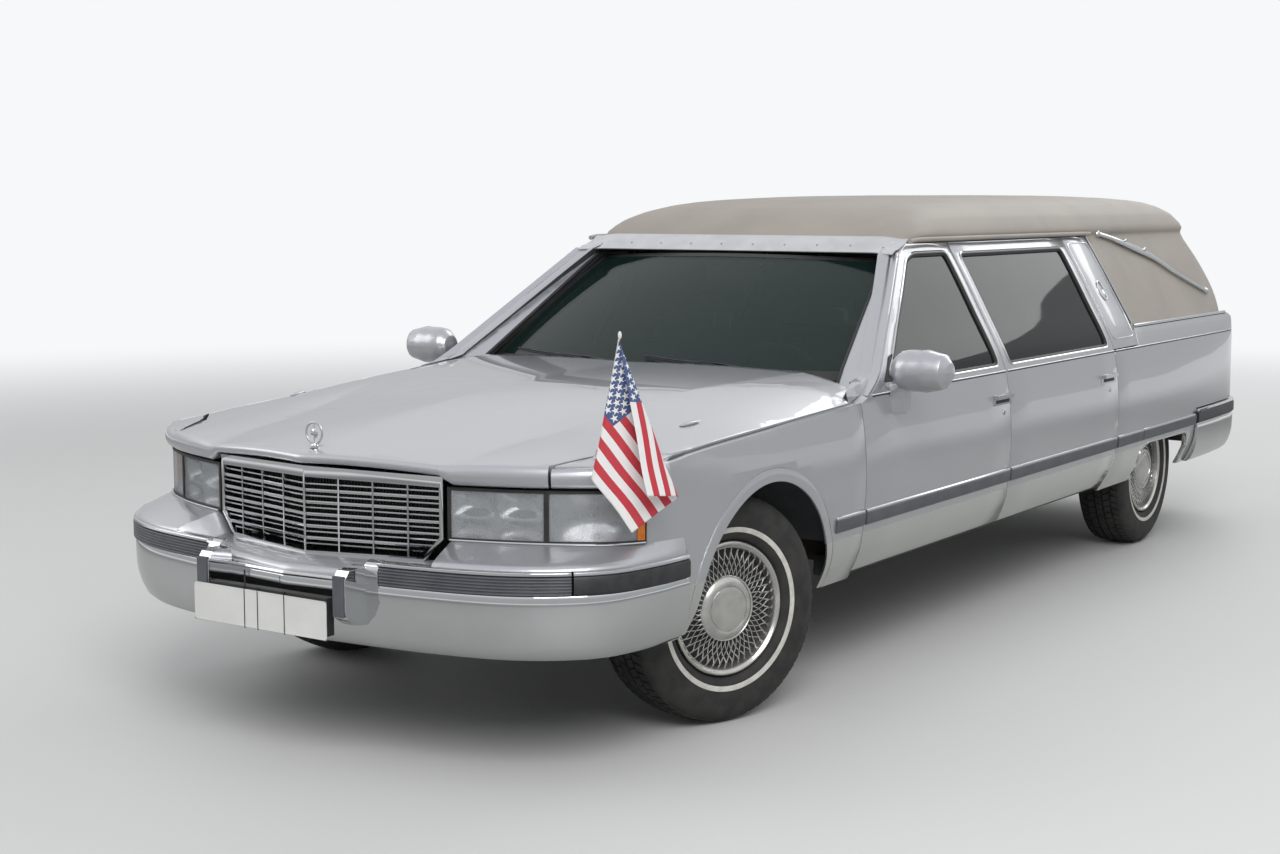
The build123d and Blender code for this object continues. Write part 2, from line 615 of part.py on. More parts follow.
def knuckle(side):
    """The upright that carries a front wheel: two kingpin eyes and the spindle."""
    low, high = hub_height - knuckle_reach, hub_height + knuckle_reach
    eye_height = 32
    post = block((kingpin_x - 20, kingpin_x + 20), (-26, 26), (low, high))
    post += rod((kingpin_x + 10, 0, hub_height), (front_track / 2 + 8, 0, hub_height), spindle_radius)
    middle = block((kingpin_x - 40, kingpin_x + 40), (-40, 40), (low + eye_height, high - eye_height))
    post -= Pos(kingpin_x, 0, hub_height) * Cylinder(kingpin_radius + running_gap, 400) - middle
    post = Pos(0, front_axle_y, 0) * post
    post = post if side > 0 else mirrored(post)
    pin = Pos(side * kingpin_x, front_axle_y, 0)
    return pin * Rot(0, 0, -rest_steer) * pin.inverse() * post


def front_suspension():
    """Crossmember with a lower and an upper arm a side, each with its kingpin ball joint."""
    reach, y = knuckle_reach, front_axle_y
    half = block((0, 440), (y - 70, y + 70), (hub_height - 147, 340))
    half_plan = [(442, 90), (kingpin_x - 60, 22), (kingpin_x + 12, 22)]
    plan = [(x, y - wide) for x, wide in half_plan] + [(x, y + wide) for x, wide in reversed(half_plan)]
    # each arm's height and how far below it its ball joint's pin starts
    for z, drop in ((hub_height - reach - 20, 0), (hub_height + reach + 5, 33)):
        half += plan_prism(plan, z, z + 15) + Pos(kingpin_x, y, z - drop + 24) * Cylinder(kingpin_radius,
                                                            48)
    half += block((440, 462), (y - 60, y + 60), (hub_height - 147, hub_height + reach + 30))
    return half + mirrored(half)


def rear_axle():
    """Solid axle with its differential, propeller shaft, and trailing arms with eyes at the rails."""
    y, z, end = rear_axle_y, hub_height, rear_track / 2
    axle = rod((70 - end, y, z), (end - 70, y, z), 38) + rod((-end - 6, y, z), (end + 6, y, z),
                                                            spindle_radius)
    axle += rod((0, y - 90, z), (0, y + 100, z), 105)
    for side in (-1, 1):
        arm = block((470, 520), (y - 560, y), (z - 20, z + 14)) + block((rail_far_x + seat_gap, 520),
                                                            (y - 560, y - 510), (z - 20, z + 14))
        axle += arm if side > 0 else mirrored(arm)
    shaft_z, joint_y = 440, 700
    axle += rod((0, joint_y, shaft_z), (0, y - 80, z), 32) + rod((0, gearbox_end_y + seat_gap, shaft_z),
                                                            (0, joint_y, shaft_z), 32)
    return axle + Pos(0, joint_y, shaft_z) * Sphere(44)


def chassis_frame():
    """Two rails with a kick-up over the rear axle, joined by crossmembers."""
    top = [(-2830, 470), (-2300, 470), (-1500, floor_z)] + floor_rise
    low = [(2870, 380), (2330, 380), (2180, 466), (1420, 466), (1280, 310), (-1480, 310), (-1700, 340),
           (-2100, 340), (-2280, 370), (-2830, 370)]
    half = side_prism(top + low, rail_near_x, rail_far_x)
    for y, z in ((-2790, 380), (-1300, 330), (-300, 330), (700, 330), (1480, 480), (2360, 390),
                 (2830, 390)):
        half += block((0, 400), (y - 35, y + 35), (z, z + 60))
    outrigger = block((430, 800), (-1000, -930), (330, floor_z)) + block((430, 800), (900, 970),
                                                            (330, floor_z))
    for line, ends in ((front_bumper_line, (nose_y - 60, -2820)),
                       (rear_bumper_line, (2860, tail_y + 80))):
        grown = [(z, out + seat_gap) for z, out in bumper_face]
        half += block((rail_near_x, rail_far_x), ends, (400, 470)) - bumper(line, grown, bumper_wall + 2
                                                            * seat_gap)
    half = half.solids().sort_by(SortBy.VOLUME)[-1]
    support = block((0, 430), (-2650, -2600), (440, 800)) - block((-1, 350), (-2700, -2500), (500, 740))
    support += rod((380, -2625, 780), (380, -2625, 920), 14) - hood_block(-100, hood_skin + seat_gap)
    half += outrigger + support
    return half + mirrored(half)


def floor_pan():
    """Floor with firewall, tunnel, raised rear floor and the rear wheelhouses."""
    front_y, wall, house_radius = -1215, 16, 410
    top = [(front_y, floor_z)] + floor_rise
    slab = side_prism(top + [(y, z + wall) for y, z in reversed(top)], 0, 800)
    slab -= block((612, 900), (rear_axle_y - house_radius, rear_axle_y + house_radius), (300, 700))
    slab += block((0, 800), (front_y, front_y + wall), (floor_z, 880))
    tunnel_high = [(90, floor_z + 86), (0, floor_z + 86)]
    tunnel = front_prism([(0, floor_z + wall), (150, floor_z + wall), (100, 500), (0, 500)], front_y + 10,
                         1350)
    tunnel -= front_prism([(0, 380), (134, 380), (134, 412)] + tunnel_high, -1300, 1400)
    slab = slab - front_prism([(0, 300), (128, 300), (128, 412)] + tunnel_high, -1300, 1350) + tunnel
    hub = Pos(0, rear_axle_y, hub_height) * Rot(0, 90, 0)
    house = Pos(773, 0, 0) * hub * (Cylinder(house_radius, 340) - Cylinder(house_radius - 6, 400))
    house += Pos(608, 0, 0) * hub * Cylinder(house_radius, 8)
    half = slab + (house & block((600, 936), (1300, 2300), (470, 900)))
    return half + mirrored(half)


def dashboard():
    """Dash top and panel with the instrument hood, steering column and wheel."""
    profile = [(-1110 + seat_gap, 892), (-1110 + seat_gap, 912), (-1090, 930), (-860, 950), (-800, 930),
               (-776, 880), (-800, 760), (-900, 660), (-1110 + seat_gap, 660)]
    dash = side_prism(profile, -790, 790)
    hood_part = side_prism([(-880, 930), (-840, 975), (-790, 962), (-782, 900)], 180, 560)
    tilt = Pos(370, -740, 905) * Rot(-62, 0, 0)
    wheel_ring = tilt * (Torus(184, 13) + Cylinder(52, 30) + Box(350, 34, 14))
    column = rod((370, -860, 841), (370, -740, 905), 28)
    return dash + hood_part + wheel_ring + column


def front_seat():
    """Bench seat: cushion, back and two head restraints on their posts, on two boxes."""
    cushion = face([(-700, 500), (-716, 640), (-660, 700), (-120, 668), (-120, 505), (-660, 505)],
                   [20, 60, 60, 20, 20, 40])
    back = face([(-150, 672), (-40, 1080), (20, 1100), (76, 1080), (20, 505), (-112, 505), (-112, 660)],
                [20, 50, 30, 40, 30, 10, 10])
    seat = side_prism(cushion, -720, 720) + side_prism(back, -720, 720)
    rest = side_prism(face([(-36, 1110), (-30, 1230), (40, 1236), (66, 1110)], [20, 40, 30, 20]), -130,
                      130)
    rest += [rod((x, 20, 1080), (x, 20, 1130), 7) for x in (-40, 40)]
    seat += [Pos(x, 0, 0) * rest for x in (-370, 370)]
    seat += [block((x, x + 440), (-620, -160), (floor_z + 16, 520)) for x in (-640, 200)]
    return seat


def load_deck():
    """Raised deck with a partition in front and cross rollers let into it."""
    top_z, floor_top, half_width, board, bulkhead_y = 640, floor_z + 16, 600, 18, 120
    deck = block((-half_width, half_width), (200, 2830), (top_z - board, top_z))
    deck += block((-half_width, half_width), (200, 216), (500, top_z))
    deck += block((-half_width, half_width), (bulkhead_y + 20, 204), (top_z - board, top_z))
    deck += block((-790, 790), (bulkhead_y, bulkhead_y + 20), (500, 1080))
    # the partition's feet stand on the floor either side of the tunnel
    deck += [block(x, (bulkhead_y, bulkhead_y + 20), (floor_top, 520))
             for x in ((160, 790), (-790, -160))]
    deck += [block(x, (216, 1300), (floor_top, top_z)) for x in ((-half_width, board - half_width),
                                                                 (half_width - board, half_width))]
    for i in range(7):
        y = 420 + 380 * i
        deck -= block((-262, 262), (y - 24, y + 24), (top_z - 30, top_z + 1))
        deck += rod((-266, y, top_z - 10), (266, y, top_z - 10), 18)
    deck += block((-560, 560), (2812, 2830), (486, top_z))
    return deck


def engine():
    """The engine as one plain block with its gearbox."""
    mounts = block((seat_gap - rail_near_x, rail_near_x - seat_gap), (-2130, -2070), (432, 450))
    gearbox = block((-110, 110), (-1720, gearbox_end_y), (390 + seat_gap, 600))
    return block((-290, 290), (-2420, -1720), (430, 860)) + mounts + gearbox


def exhaust():
    """One pipe with its silencer, from under the floor to the tail."""
    pipe = tube([(250, -1180, 292), (250, 2150, 292), (330, 2420, 312), (330, 2985, 312)], 26, 90)
    silencer = block((180, 320), (0, 560), (254, 326))
    # each hanger's x, y and the heights that it spans
    for x, y, low, high in ((250, -300, 300, 330), (250, 700, 300, 330), (330, 2830, 330, 390)):
        silencer += block((x - 6, x + 6), (y - 6, y + 6), (low, high))
    return pipe + silencer


def fuel_tank():
    """Flat tank under the rear floor, between the rails."""
    outline = [(2400, 470), (2780, 470), (2780, 350), (2480, 300), (2400, 330)]
    return side_prism(face(outline, [10, 10, 40, 60, 30]), -200, 200)


def flag():
    """A hand flag: a square foot on the wing's cap, a leaning pole, and the cloth as one thin plate."""
    foot_x, foot_y, top_x, top_y = 797, -2545, 905, -2600
    base = Pos(foot_x, foot_y, 880) * Box(28, 28, 26) - hood_block(-seat_gap, 60)
    base += rod((foot_x, foot_y, 888), (top_x, top_y, 1216), 3)
    # distance from the pole's top and height, round the cloth's edge
    cloth = [(-12, 1206), (20, 1204), (62, 1121), (90, 1036), (118, 950), (140, 879), (146, 831),
             (118, 785), (80, 751), (46, 717), (6, 672), (-6, 690), (-6, 751), (-10, 842), (-40, 899),
             (-74, 942), (-50, 1036)]
    return base + Pos(top_x, top_y, 0) * Rot(0, 0, 25) * front_prism(cloth, -5, 5)


def write(name, shape):
    export_step(Compound(shape.solids()) if len(shape.solids()) > 1 else shape.solid(),
                f"parts/{name}.step")


def main():
    os.makedirs("parts", exist_ok=True)
    pieces = {"chassis_frame": chassis_frame, "floor_pan": floor_pan, "body_frame": body_frame,
              "front_fenders": front_fenders, "quarter_panels": quarter_panels, "roof": roof,
              "windshield": windshield, "dashboard": dashboard, "front_seat": front_seat,
              "load_deck": load_deck, "front_bumper": front_bumper, "front_fascia": front_fascia,
              "rear_bumper": rear_bumper, "grille": grille, "headlamps": headlamps,
              "tail_lamps": tail_lamps, "landau_bars": landau_bars, "wipers": wipers, "engine": engine,
              "front_suspension": front_suspension, "rear_axle": rear_axle, "exhaust": exhaust,
              "fuel_tank": fuel_tank, "flag": flag, "hood": hood}
    for name, make in pieces.items():
        write(name, make())
        print(name)
    for place, outline, window in (("front", front_door, front_window),
                                   ("rear", rear_door_side, rear_window)):
        shell, pane = door_shell(outline, window), door_glass(window)
        if place == "front":
            shell = shell + door_mirror()
        for side, shapes in (("left", (shell, pane)), ("right", (mirrored(shell), mirrored(pane)))):
            write(f"{place}_door_{side}", shapes[0])
            write(f"{place}_window_{side}", shapes[1])
    for name, shape in zip(("loading_door", "loading_window"), loading_door_parts()):
        write(name, shape)
    tyre_shape = tyre()
    for end, track, y, steer, disc in (("front", front_track, front_axle_y, rest_steer, disc_radius),
                                       ("rear", rear_track, rear_axle_y, 0, rear_disc_radius)):
        wheel_shape = wheel(disc)
        for name, side in (("left", 1), ("right", -1)):
            write(f"{end}_tyre_{name}", placed(tyre_shape, side, track, y, steer))
            write(f"{end}_wheel_{name}", placed(wheel_shape, side, track, y, steer))
            if steer:
                write(f"knuckle_{name}", knuckle(side))


main()
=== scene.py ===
import bmesh
import bpy
import numpy as np
from math import acos, atan2, cos, hypot, pi, radians, sin
from mathutils import Matrix, Vector


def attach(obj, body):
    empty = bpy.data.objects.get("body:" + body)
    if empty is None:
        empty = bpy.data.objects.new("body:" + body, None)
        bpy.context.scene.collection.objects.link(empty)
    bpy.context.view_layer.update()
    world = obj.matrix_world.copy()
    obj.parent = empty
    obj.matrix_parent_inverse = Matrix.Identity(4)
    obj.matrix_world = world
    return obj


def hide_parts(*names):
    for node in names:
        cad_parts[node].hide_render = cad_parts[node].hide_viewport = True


# Long hearse: the smooth body panels, bright work, wheels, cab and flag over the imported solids.
# Metres, +X is the car's left side, the nose points to -Y, +Z is up.

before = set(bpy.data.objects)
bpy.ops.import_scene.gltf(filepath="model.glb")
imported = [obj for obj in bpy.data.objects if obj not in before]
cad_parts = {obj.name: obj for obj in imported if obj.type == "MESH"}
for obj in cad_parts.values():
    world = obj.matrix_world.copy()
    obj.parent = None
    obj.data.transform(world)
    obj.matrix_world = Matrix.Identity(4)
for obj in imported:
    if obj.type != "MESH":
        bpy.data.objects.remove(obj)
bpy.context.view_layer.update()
print("frame loaded")

# lines shared with the solids: the section, the plans of both ends and bumpers, the roof
sideLine = [(0.915, 0.334), (0.962, 0.44), (0.979, 0.56), (0.986, 0.7), (0.976, 0.84), (0.96, 0.945),
            (0.936, 1.01), (0.856, 1.16), (0.786, 1.29), (0.704, 1.434)]
noseLine = [(0, -2.886), (0.44, -2.787), (0.722, -2.686), (0.905, -2.556), (0.966, -2.386), (0.996, -2.126)]
tailLine = [(0, 2.925), (0.84, 2.925), (0.915, 2.88), (0.95, 2.8), (0.978, 2.45), (0.996, 2.05)]
frontBumperLine = [(0, -2.975), (0.44, -2.93), (0.7, -2.865), (0.85, -2.77), (0.935, -2.66), (0.976, -2.486),
                   (0.984, -2.362)]
rearBumperLine = [(0, 3.03), (0.7, 3.015), (0.88, 2.955), (0.95, 2.855), (0.978, 2.6), (0.986, 2.176)]
roofSide = [(-0.452, 1.422), (-0.43, 1.448), (-0.3, 1.534), (-0.09, 1.59), (0.3, 1.626), (1.1, 1.64),
            (2.35, 1.634), (2.64, 1.59), (2.735, 1.5), (2.8, 1.3), (2.852, 1.01)]
roofSection = [(0.96, 0.945), (0.936, 1.01), (0.856, 1.16), (0.786, 1.29), (0.704, 1.434), (0.704, 1.442),
               (0.712, 1.462), (0.672, 1.53), (0.56, 1.6), (0.33, 1.632), (0, 1.642)]
roofPlan = [(1.0, -0.6), (1.0, 2.3), (0.94, 2.6), (0.905, 2.74), (0.84, 2.805), (0.7, 2.84), (0, 2.86)]
# y, the heights of middle, crease and edge, and the half widths of crease and edge
hoodStations = [(-2.926, 0.866, 0.838, 0.8, 0.432, 0.76), (-2.656, 0.914, 0.878, 0.846, 0.462, 0.926),
                (-2.33, 0.958, 0.914, 0.884, 0.5, 0.938), (-1.85, 0.998, 0.985, 0.91, 0.585, 0.938),
                (-1.13, 1.022, 1.016, 0.94, 0.7, 0.942)]
# how far the hood's smooth skin swells over the flats inside and outside of the crease
hoodCrown = (0.006, 0.011)


class Wire:
    def __init__(self, graph, socket):
        self.graph = graph
        self.socket = socket

    def maths(self, operation, first, second=0.0):
        return self.graph.add("ShaderNodeMath", {"operation": operation}, {0: first, 1: second})

    def __add__(self, other):
        return self.maths("ADD", self, other)

    def __sub__(self, other):
        return self.maths("SUBTRACT", self, other)

    def __rsub__(self, other):
        return self.maths("SUBTRACT", other, self)

    def __mul__(self, other):
        return self.maths("MULTIPLY", self, other)

    def __truediv__(self, other):
        return self.maths("DIVIDE", self, other)

    def __pow__(self, other):
        return self.maths("POWER", self, other)

    def __gt__(self, other):
        return self.maths("GREATER_THAN", self, other)

    def __lt__(self, other):
        return self.maths("LESS_THAN", self, other)

    __radd__ = __add__
    __rmul__ = __mul__

    def out(self, name):
        return Wire(self.graph, self.socket.node.outputs[name])

    def ease(self, low, high):
        return self.graph.add("ShaderNodeMapRange", {"interpolation_type": "SMOOTHSTEP"},
                              {"Value": self, "From Min": low, "From Max": high})


class Graph:
    def __init__(self, tree):
        self.tree = tree
        tree.nodes.clear()

    def add(self, kind, settings=None, sockets=None):
        node = self.tree.nodes.new(kind)
        for key, value in (settings or {}).items():
            if key == "stops":
                ramp = node.color_ramp
                while len(ramp.elements) < len(value):
                    ramp.elements.new(1.0)
                for stop, (where, colour) in zip(ramp.elements, value):
                    stop.position = where
                    stop.color = colour
            else:
                setattr(node, key, value)
        for key, value in (sockets or {}).items():
            if isinstance(value, Wire):
                self.tree.links.new(value.socket, node.inputs[key])
            else:
                node.inputs[key].default_value = value
        shown = [out for out in node.outputs if out.enabled]
        return Wire(self, shown[0]) if shown else None

    def blend(self, factor, first, second):
        return self.add("ShaderNodeMix", {"data_type": "RGBA"}, {0: factor, 6: first, 7: second})

    def noise(self, place, scale, detail=3.0):
        return self.add("ShaderNodeTexNoise", None, {"Vector": place, "Scale": scale, "Detail": detail})

    def stretch(self, place, scale):
        return self.add("ShaderNodeMapping", None, {"Vector": place, "Scale": scale})

    def bump(self, height, strength, distance):
        return self.add("ShaderNodeBump", None, {"Height": height, "Strength": strength, "Distance": distance})


def colour(red, green, blue):
    return (red, green, blue, 1.0)


def finish(name, recipe):
    made = bpy.data.materials.new(name)
    made.use_nodes = True
    graph = Graph(made.node_tree)
    coords = graph.add("ShaderNodeTexCoord")
    shader = graph.add("ShaderNodeBsdfPrincipled", None, recipe(graph, coords.out("Object")))
    graph.add("ShaderNodeOutputMaterial", None, {"Surface": shader})
    return made


def depthOf(graph, place, axis):
    return graph.add("ShaderNodeSeparateXYZ", None, {"Vector": place}).out(axis)


def silverPaint(graph, place):
    height = depthOf(graph, place, "Z")
    flakes = graph.noise(place, 1400, 2)
    cloud = graph.noise(place, 2.2)
    peel = graph.noise(place, 160, 2)
    cladding = 1 - height.ease(0.5, 0.506)
    # towards the bottom the paint turns darker, browner and rougher in mottled patches
    lowDarkening = (1 - height.ease(0.36, 0.6)) * graph.noise(place, 9, 5)
    silver = graph.blend(flakes.ease(0.42, 0.62), colour(0.40, 0.405, 0.43), colour(0.50, 0.505, 0.53))
    silver = graph.blend(cloud * 0.2, silver, colour(0.36, 0.365, 0.39))
    silver = graph.blend(cladding, silver, colour(0.60, 0.60, 0.585))
    silver = graph.blend(lowDarkening * 0.18, silver, colour(0.30, 0.27, 0.22))
    return {"Base Color": silver, "Roughness": cladding * -0.2 + 0.3 + flakes * 0.06 + lowDarkening * 0.1,
            "Metallic": cladding * 0.3 + 0.62, "Coat Weight": 1.0, "Coat Roughness": 0.03,
            "Normal": graph.bump(peel, 0.12, 0.0004)}


def vinylTop(graph, place):
    grain = graph.add("ShaderNodeTexVoronoi", {"feature": "DISTANCE_TO_EDGE"}, {"Vector": place, "Scale": 420})
    broad = graph.noise(place, 3.5, 4)
    fine = graph.noise(place, 700, 3)
    shade = graph.blend(broad.ease(0.3, 0.7), colour(0.345, 0.31, 0.275), colour(0.40, 0.362, 0.32))
    shade = graph.blend(fine * 0.25, shade, colour(0.27, 0.24, 0.21))
    height = grain.ease(0.0, 0.35) + fine * 0.3 + broad * 6
    return {"Base Color": shade, "Roughness": broad * 0.1 + 0.5, "Normal": graph.bump(height, 0.35, 0.0006)}


def chromePlate(graph, place):
    smear = graph.noise(place, 14, 4)
    return {"Base Color": graph.blend(smear * 0.3, colour(0.62, 0.63, 0.64), colour(0.47, 0.475, 0.48)),
            "Metallic": 1.0, "Roughness": smear * 0.07 + 0.04}


def plain(shadeA, shadeB, scale, rough, metal=0.0, bumpScale=None, bumpDepth=0.0003, coat=0.0):
    def recipe(graph, place):
        broad = graph.noise(place, scale, 4)
        sockets = {"Base Color": graph.blend(broad.ease(0.3, 0.7), colour(*shadeA), colour(*shadeB)),
                   "Roughness": broad * 0.12 + rough, "Metallic": metal, "Coat Weight": coat}
        if bumpScale:
            sockets["Normal"] = graph.bump(graph.noise(place, bumpScale, 4), 0.4, bumpDepth)
        return sockets
    return recipe


def tintedGlass(shade, alpha, mirror=0.5):
    def recipe(graph, place):
        film = graph.noise(place, 6, 4)
        return {"Base Color": colour(*shade), "Roughness": film * 0.03 + 0.01, "Alpha": film * 0.06 + alpha,
                "Specular IOR Level": mirror}
    return recipe


# two shades, the mottling's scale, roughness, metal, the grain's scale and depth, coat
plainFinishes = {
    "lensAmber": ((0.85, 0.26, 0.02), (0.7, 0.18, 0.01), 60, 0.08, 0.0, None, 0.0, 1.0),
    "lensRed": ((0.32, 0.008, 0.008), (0.22, 0.004, 0.006), 60, 0.08, 0.0, None, 0.0, 1.0),
    "rubber": ((0.012, 0.012, 0.012), (0.022, 0.021, 0.02), 20, 0.5, 0, 300),
    "trimBlack": ((0.014, 0.014, 0.016), (0.026, 0.026, 0.028), 30, 0.42),
    "stripGrey": ((0.075, 0.08, 0.092), (0.1, 0.105, 0.118), 12, 0.42, 0, 600, 0.0001),
    "upholstery": ((0.030, 0.031, 0.034), (0.05, 0.05, 0.053), 14, 0.7, 0, 300, 0.00008),
    "lining": ((0.045, 0.047, 0.052), (0.07, 0.072, 0.078), 10, 0.6),
    "deckBoard": ((0.11, 0.075, 0.05), (0.16, 0.11, 0.075), 5, 0.4, 0, 90, 0.0003, 0.4),
    "underbody": ((0.02, 0.019, 0.018), (0.06, 0.045, 0.034), 7, 0.75, 0, 120, 0.001),
    "castIron": ((0.05, 0.05, 0.05), (0.085, 0.082, 0.078), 16, 0.6, 0.6, 180, 0.0008),
    "steel": ((0.28, 0.27, 0.26), (0.4, 0.38, 0.36), 9, 0.35, 0.9, 140, 0.0003),
    "tyreRubber": ((0.014, 0.014, 0.014), (0.032, 0.03, 0.028), 18, 0.68, 0, 240, 0.0004),
    "whiteBand": ((0.62, 0.6, 0.56), (0.5, 0.48, 0.44), 40, 0.55, 0, 300, 0.0002),
    "coverSilver": ((0.62, 0.61, 0.58), (0.52, 0.51, 0.49), 20, 0.16, 0.95, 60, 0.0004),
    "trimSilver": ((0.62, 0.62, 0.63), (0.55, 0.55, 0.56), 12, 0.28, 0.7, 90, 0.0003, 0.5),
    "reflector": ((0.5, 0.51, 0.53), (0.36, 0.37, 0.4), 30, 0.2, 1.0),
    "plateWhite": ((0.72, 0.72, 0.7), (0.66, 0.66, 0.64), 8, 0.3, 0, None, 0.0, 0.6),
}
# shade, alpha and mirror; the side glass's near-black shade and high alpha paint a dark reflection of its surroundings
# besides its tint
glassFinishes = {"screenGlass": ((0.010, 0.026, 0.023), 0.5, 0.4), "sideGlassTintAndReflection": ((0.008, 0.013, 0.012), 0.9, 0.16),
                 "lensClear": ((0.45, 0.47, 0.48), 0.3)}
materials = {"paint": finish("silverPaint", silverPaint), "vinyl": finish("vinylTop", vinylTop),
             "chrome": finish("chromePlate", chromePlate)}
materials.update({name: finish(name, tintedGlass(*row)) for name, row in glassFinishes.items()})
materials.update({name: finish(name, plain(*row)) for name, row in plainFinishes.items()})
print("finishes ready:", len(materials))


studio = {"floorSize": 60.0, "floorShade": (0.66, 0.66, 0.65), "skyShade": (0.93, 0.94, 0.95), "ambient": 0.5,
          "fade": (5.5, 15.0), "mirrorNear": (0.46, 0.47, 0.45), "mirrorFar": (0.09, 0.095, 0.09),
          "mirrorFade": (3.2, 8.5), "aim": (0, -0.5, 0.7),
          "wall": ((0.0, 0.5, 0.51, 0.52), (0.2, 0.55, 0.56, 0.57), (0.46, 0.93, 0.94, 0.95), (1.0, 0.85, 0.88, 0.92))}
# place, size and energy of each lamp
studioLamps = {"keyLamp": ((6.0, -7.5, 7.5), 6.0, 640.0), "fillLamp": ((-7.5, -6.0, 5.5), 6.0, 200.0),
               "rimLamp": ((1.0, 8.5, 7.0), 7.0, 300.0)}


def raySeen(graph):
    # one where the camera, a reflection or a pane looks, none where light is gathered
    path = graph.add("ShaderNodeLightPath")
    return path, path.out("Is Camera Ray") + path.out("Is Glossy Ray") + path.out("Is Transmission Ray")


def makeStudio():
    half = studio["floorSize"] / 2
    mesh = bpy.data.meshes.new("studioFloor")
    mesh.from_pydata([(-half, -half, 0), (half, -half, 0), (half, half, 0), (-half, half, 0)], [], [(0, 1, 2, 3)])
    floor = bpy.data.objects.new("studioFloor", mesh)
    bpy.context.scene.collection.objects.link(floor)
    paper = bpy.data.materials.new("floorPaper")
    paper.use_nodes = True
    graph = Graph(paper.node_tree)
    place = graph.add("ShaderNodeTexCoord").out("Object")
    away = graph.add("ShaderNodeVectorMath", {"operation": "LENGTH"}, {"Vector": place}).out("Value")
    path, seen = raySeen(graph)
    light = studio["floorShade"]
    shade = graph.blend(graph.noise(place, 0.8), colour(*light), colour(*(v * 0.97 for v in light)))
    # reflections see a floor that darkens outward, so that bright metal has something to show
    mirrored = graph.blend(away.ease(*studio["mirrorFade"]), colour(*studio["mirrorNear"]),
                           colour(*studio["mirrorFar"]))
    shade = graph.blend(path.out("Is Glossy Ray"), shade, mirrored)
    matt = graph.add("ShaderNodeBsdfPrincipled", None, {"Base Color": shade, "Roughness": 0.6})
    glow = graph.add("ShaderNodeEmission", None, {"Color": colour(*studio["skyShade"]), "Strength": 1.0})
    both = graph.add("ShaderNodeMixShader", None, {0: away.ease(*studio["fade"]) * seen, 1: matt, 2: glow})
    graph.add("ShaderNodeOutputMaterial", None, {"Surface": both})
    mesh.materials.append(paper)
    world = bpy.data.worlds.new("studioWorld")
    bpy.context.scene.world = world
    world.use_nodes = True
    graph = Graph(world.node_tree)
    path, seen = raySeen(graph)
    height = depthOf(graph, graph.add("ShaderNodeTexCoord").out("Generated"), "Z")
    stops = [(where, colour(*shade)) for where, *shade in studio["wall"]]
    wall = graph.add("ShaderNodeValToRGB", {"stops": stops}, {"Fac": height})
    shown = graph.blend(path.out("Is Camera Ray"), wall, colour(*studio["skyShade"]))
    view = graph.add("ShaderNodeBackground", None, {"Color": shown, "Strength": 1.0})
    soft = graph.add("ShaderNodeBackground", None, {"Color": colour(0.95, 0.97, 1.0), "Strength": studio["ambient"]})
    both = graph.add("ShaderNodeMixShader", None, {0: seen, 1: soft, 2: view})
    graph.add("ShaderNodeOutputWorld", None, {"Surface": both})
    for name, (place, size, energy) in studioLamps.items():
        lamp = bpy.data.lights.new(name, "AREA")
        lamp.size = size
        lamp.energy = energy
        rig = bpy.data.objects.new(name, lamp)
        rig.location = place
        rig.rotation_euler = (Vector(studio["aim"]) - Vector(place)).to_track_quat("-Z", "Y").to_euler()
        bpy.context.scene.collection.objects.link(rig)


# fitted to the photo: focal length on a 36 mm sensor, place, and where the lens points in radians
photoView = {"sensor": 36.0, "lens": 53.03, "reach": 200.0, "place": (3.7956, -6.7868, 1.5836), "heading": 0.59306,
             "tilt": -0.11824}


def makeCamera():
    lens = bpy.data.cameras.new("photoCamera")
    lens.sensor_width = photoView["sensor"]
    lens.lens = photoView["lens"]
    lens.clip_end = photoView["reach"]
    rig = bpy.data.objects.new("photoCamera", lens)
    heading, tilt = photoView["heading"], photoView["tilt"]
    aim = Vector((-sin(heading) * cos(tilt), cos(heading) * cos(tilt), sin(tilt)))
    rig.location = photoView["place"]
    rig.rotation_euler = aim.to_track_quat("-Z", "Y").to_euler()
    bpy.context.scene.collection.objects.link(rig)
    bpy.context.scene.camera = rig


makeStudio()
makeCamera()
bpy.context.scene.view_settings.view_transform = "Standard"
print("camera and lamps placed")


def rounded(points, steps=8, corners=()):
    pts = np.array(points, float)
    made = []
    for i in range(len(pts) - 1):
        near, far = pts[i], pts[i + 1]
        before = pts[i - 1] if i > 0 and i not in corners else 2 * near - far
        after = pts[i + 2] if i + 2 < len(pts) and i + 1 not in corners else 2 * far - near
        gapA, gapB, gapC = (np.linalg.norm(b - a) ** 0.5 for a, b in ((before, near), (near, far), (far, after)))
        leave = gapB * ((near - before) / gapA - (far - before) / (gapA + gapB) + (far - near) / gapB)
        arrive = gapB * ((far - near) / gapB - (after - near) / (gapB + gapC) + (after - far) / gapC)
        for t in np.linspace(0, 1, steps, endpoint=False):
            made.append((2 * t**3 - 3 * t**2 + 1) * near + (t**3 - 2 * t**2 + t) * leave
                        + (3 * t**2 - 2 * t**3) * far + (t**3 - t**2) * arrive)
    return np.array(made + [pts[-1]])


def away(points, line, inside):
    start, run = line[:-1], line[1:] - line[:-1]
    low, high = np.zeros(len(run)), np.ones(len(run))
    low[0], high[-1] = -100, 100

    def measure(some):
        rel = some[:, None, :] - start[None]
        share = np.clip((rel * run).sum(2) / (run**2).sum(1), low, high)
        off = rel - share[..., None] * run
        gap = (off**2).sum(2)
        best = gap.argmin(1)
        rows = np.arange(len(some))
        square = np.stack([run[best][:, 1], -run[best][:, 0]], 1)
        return np.sign((off[rows, best] * square).sum(1)) * np.sqrt(gap[rows, best])

    turn = -np.sign(measure(np.array([inside], float))[0])
    return turn * measure(points)


def soften(first, second, radius):
    return np.maximum(first, second) + np.clip(radius - np.abs(first - second), 0, None) ** 2 / (4 * radius)


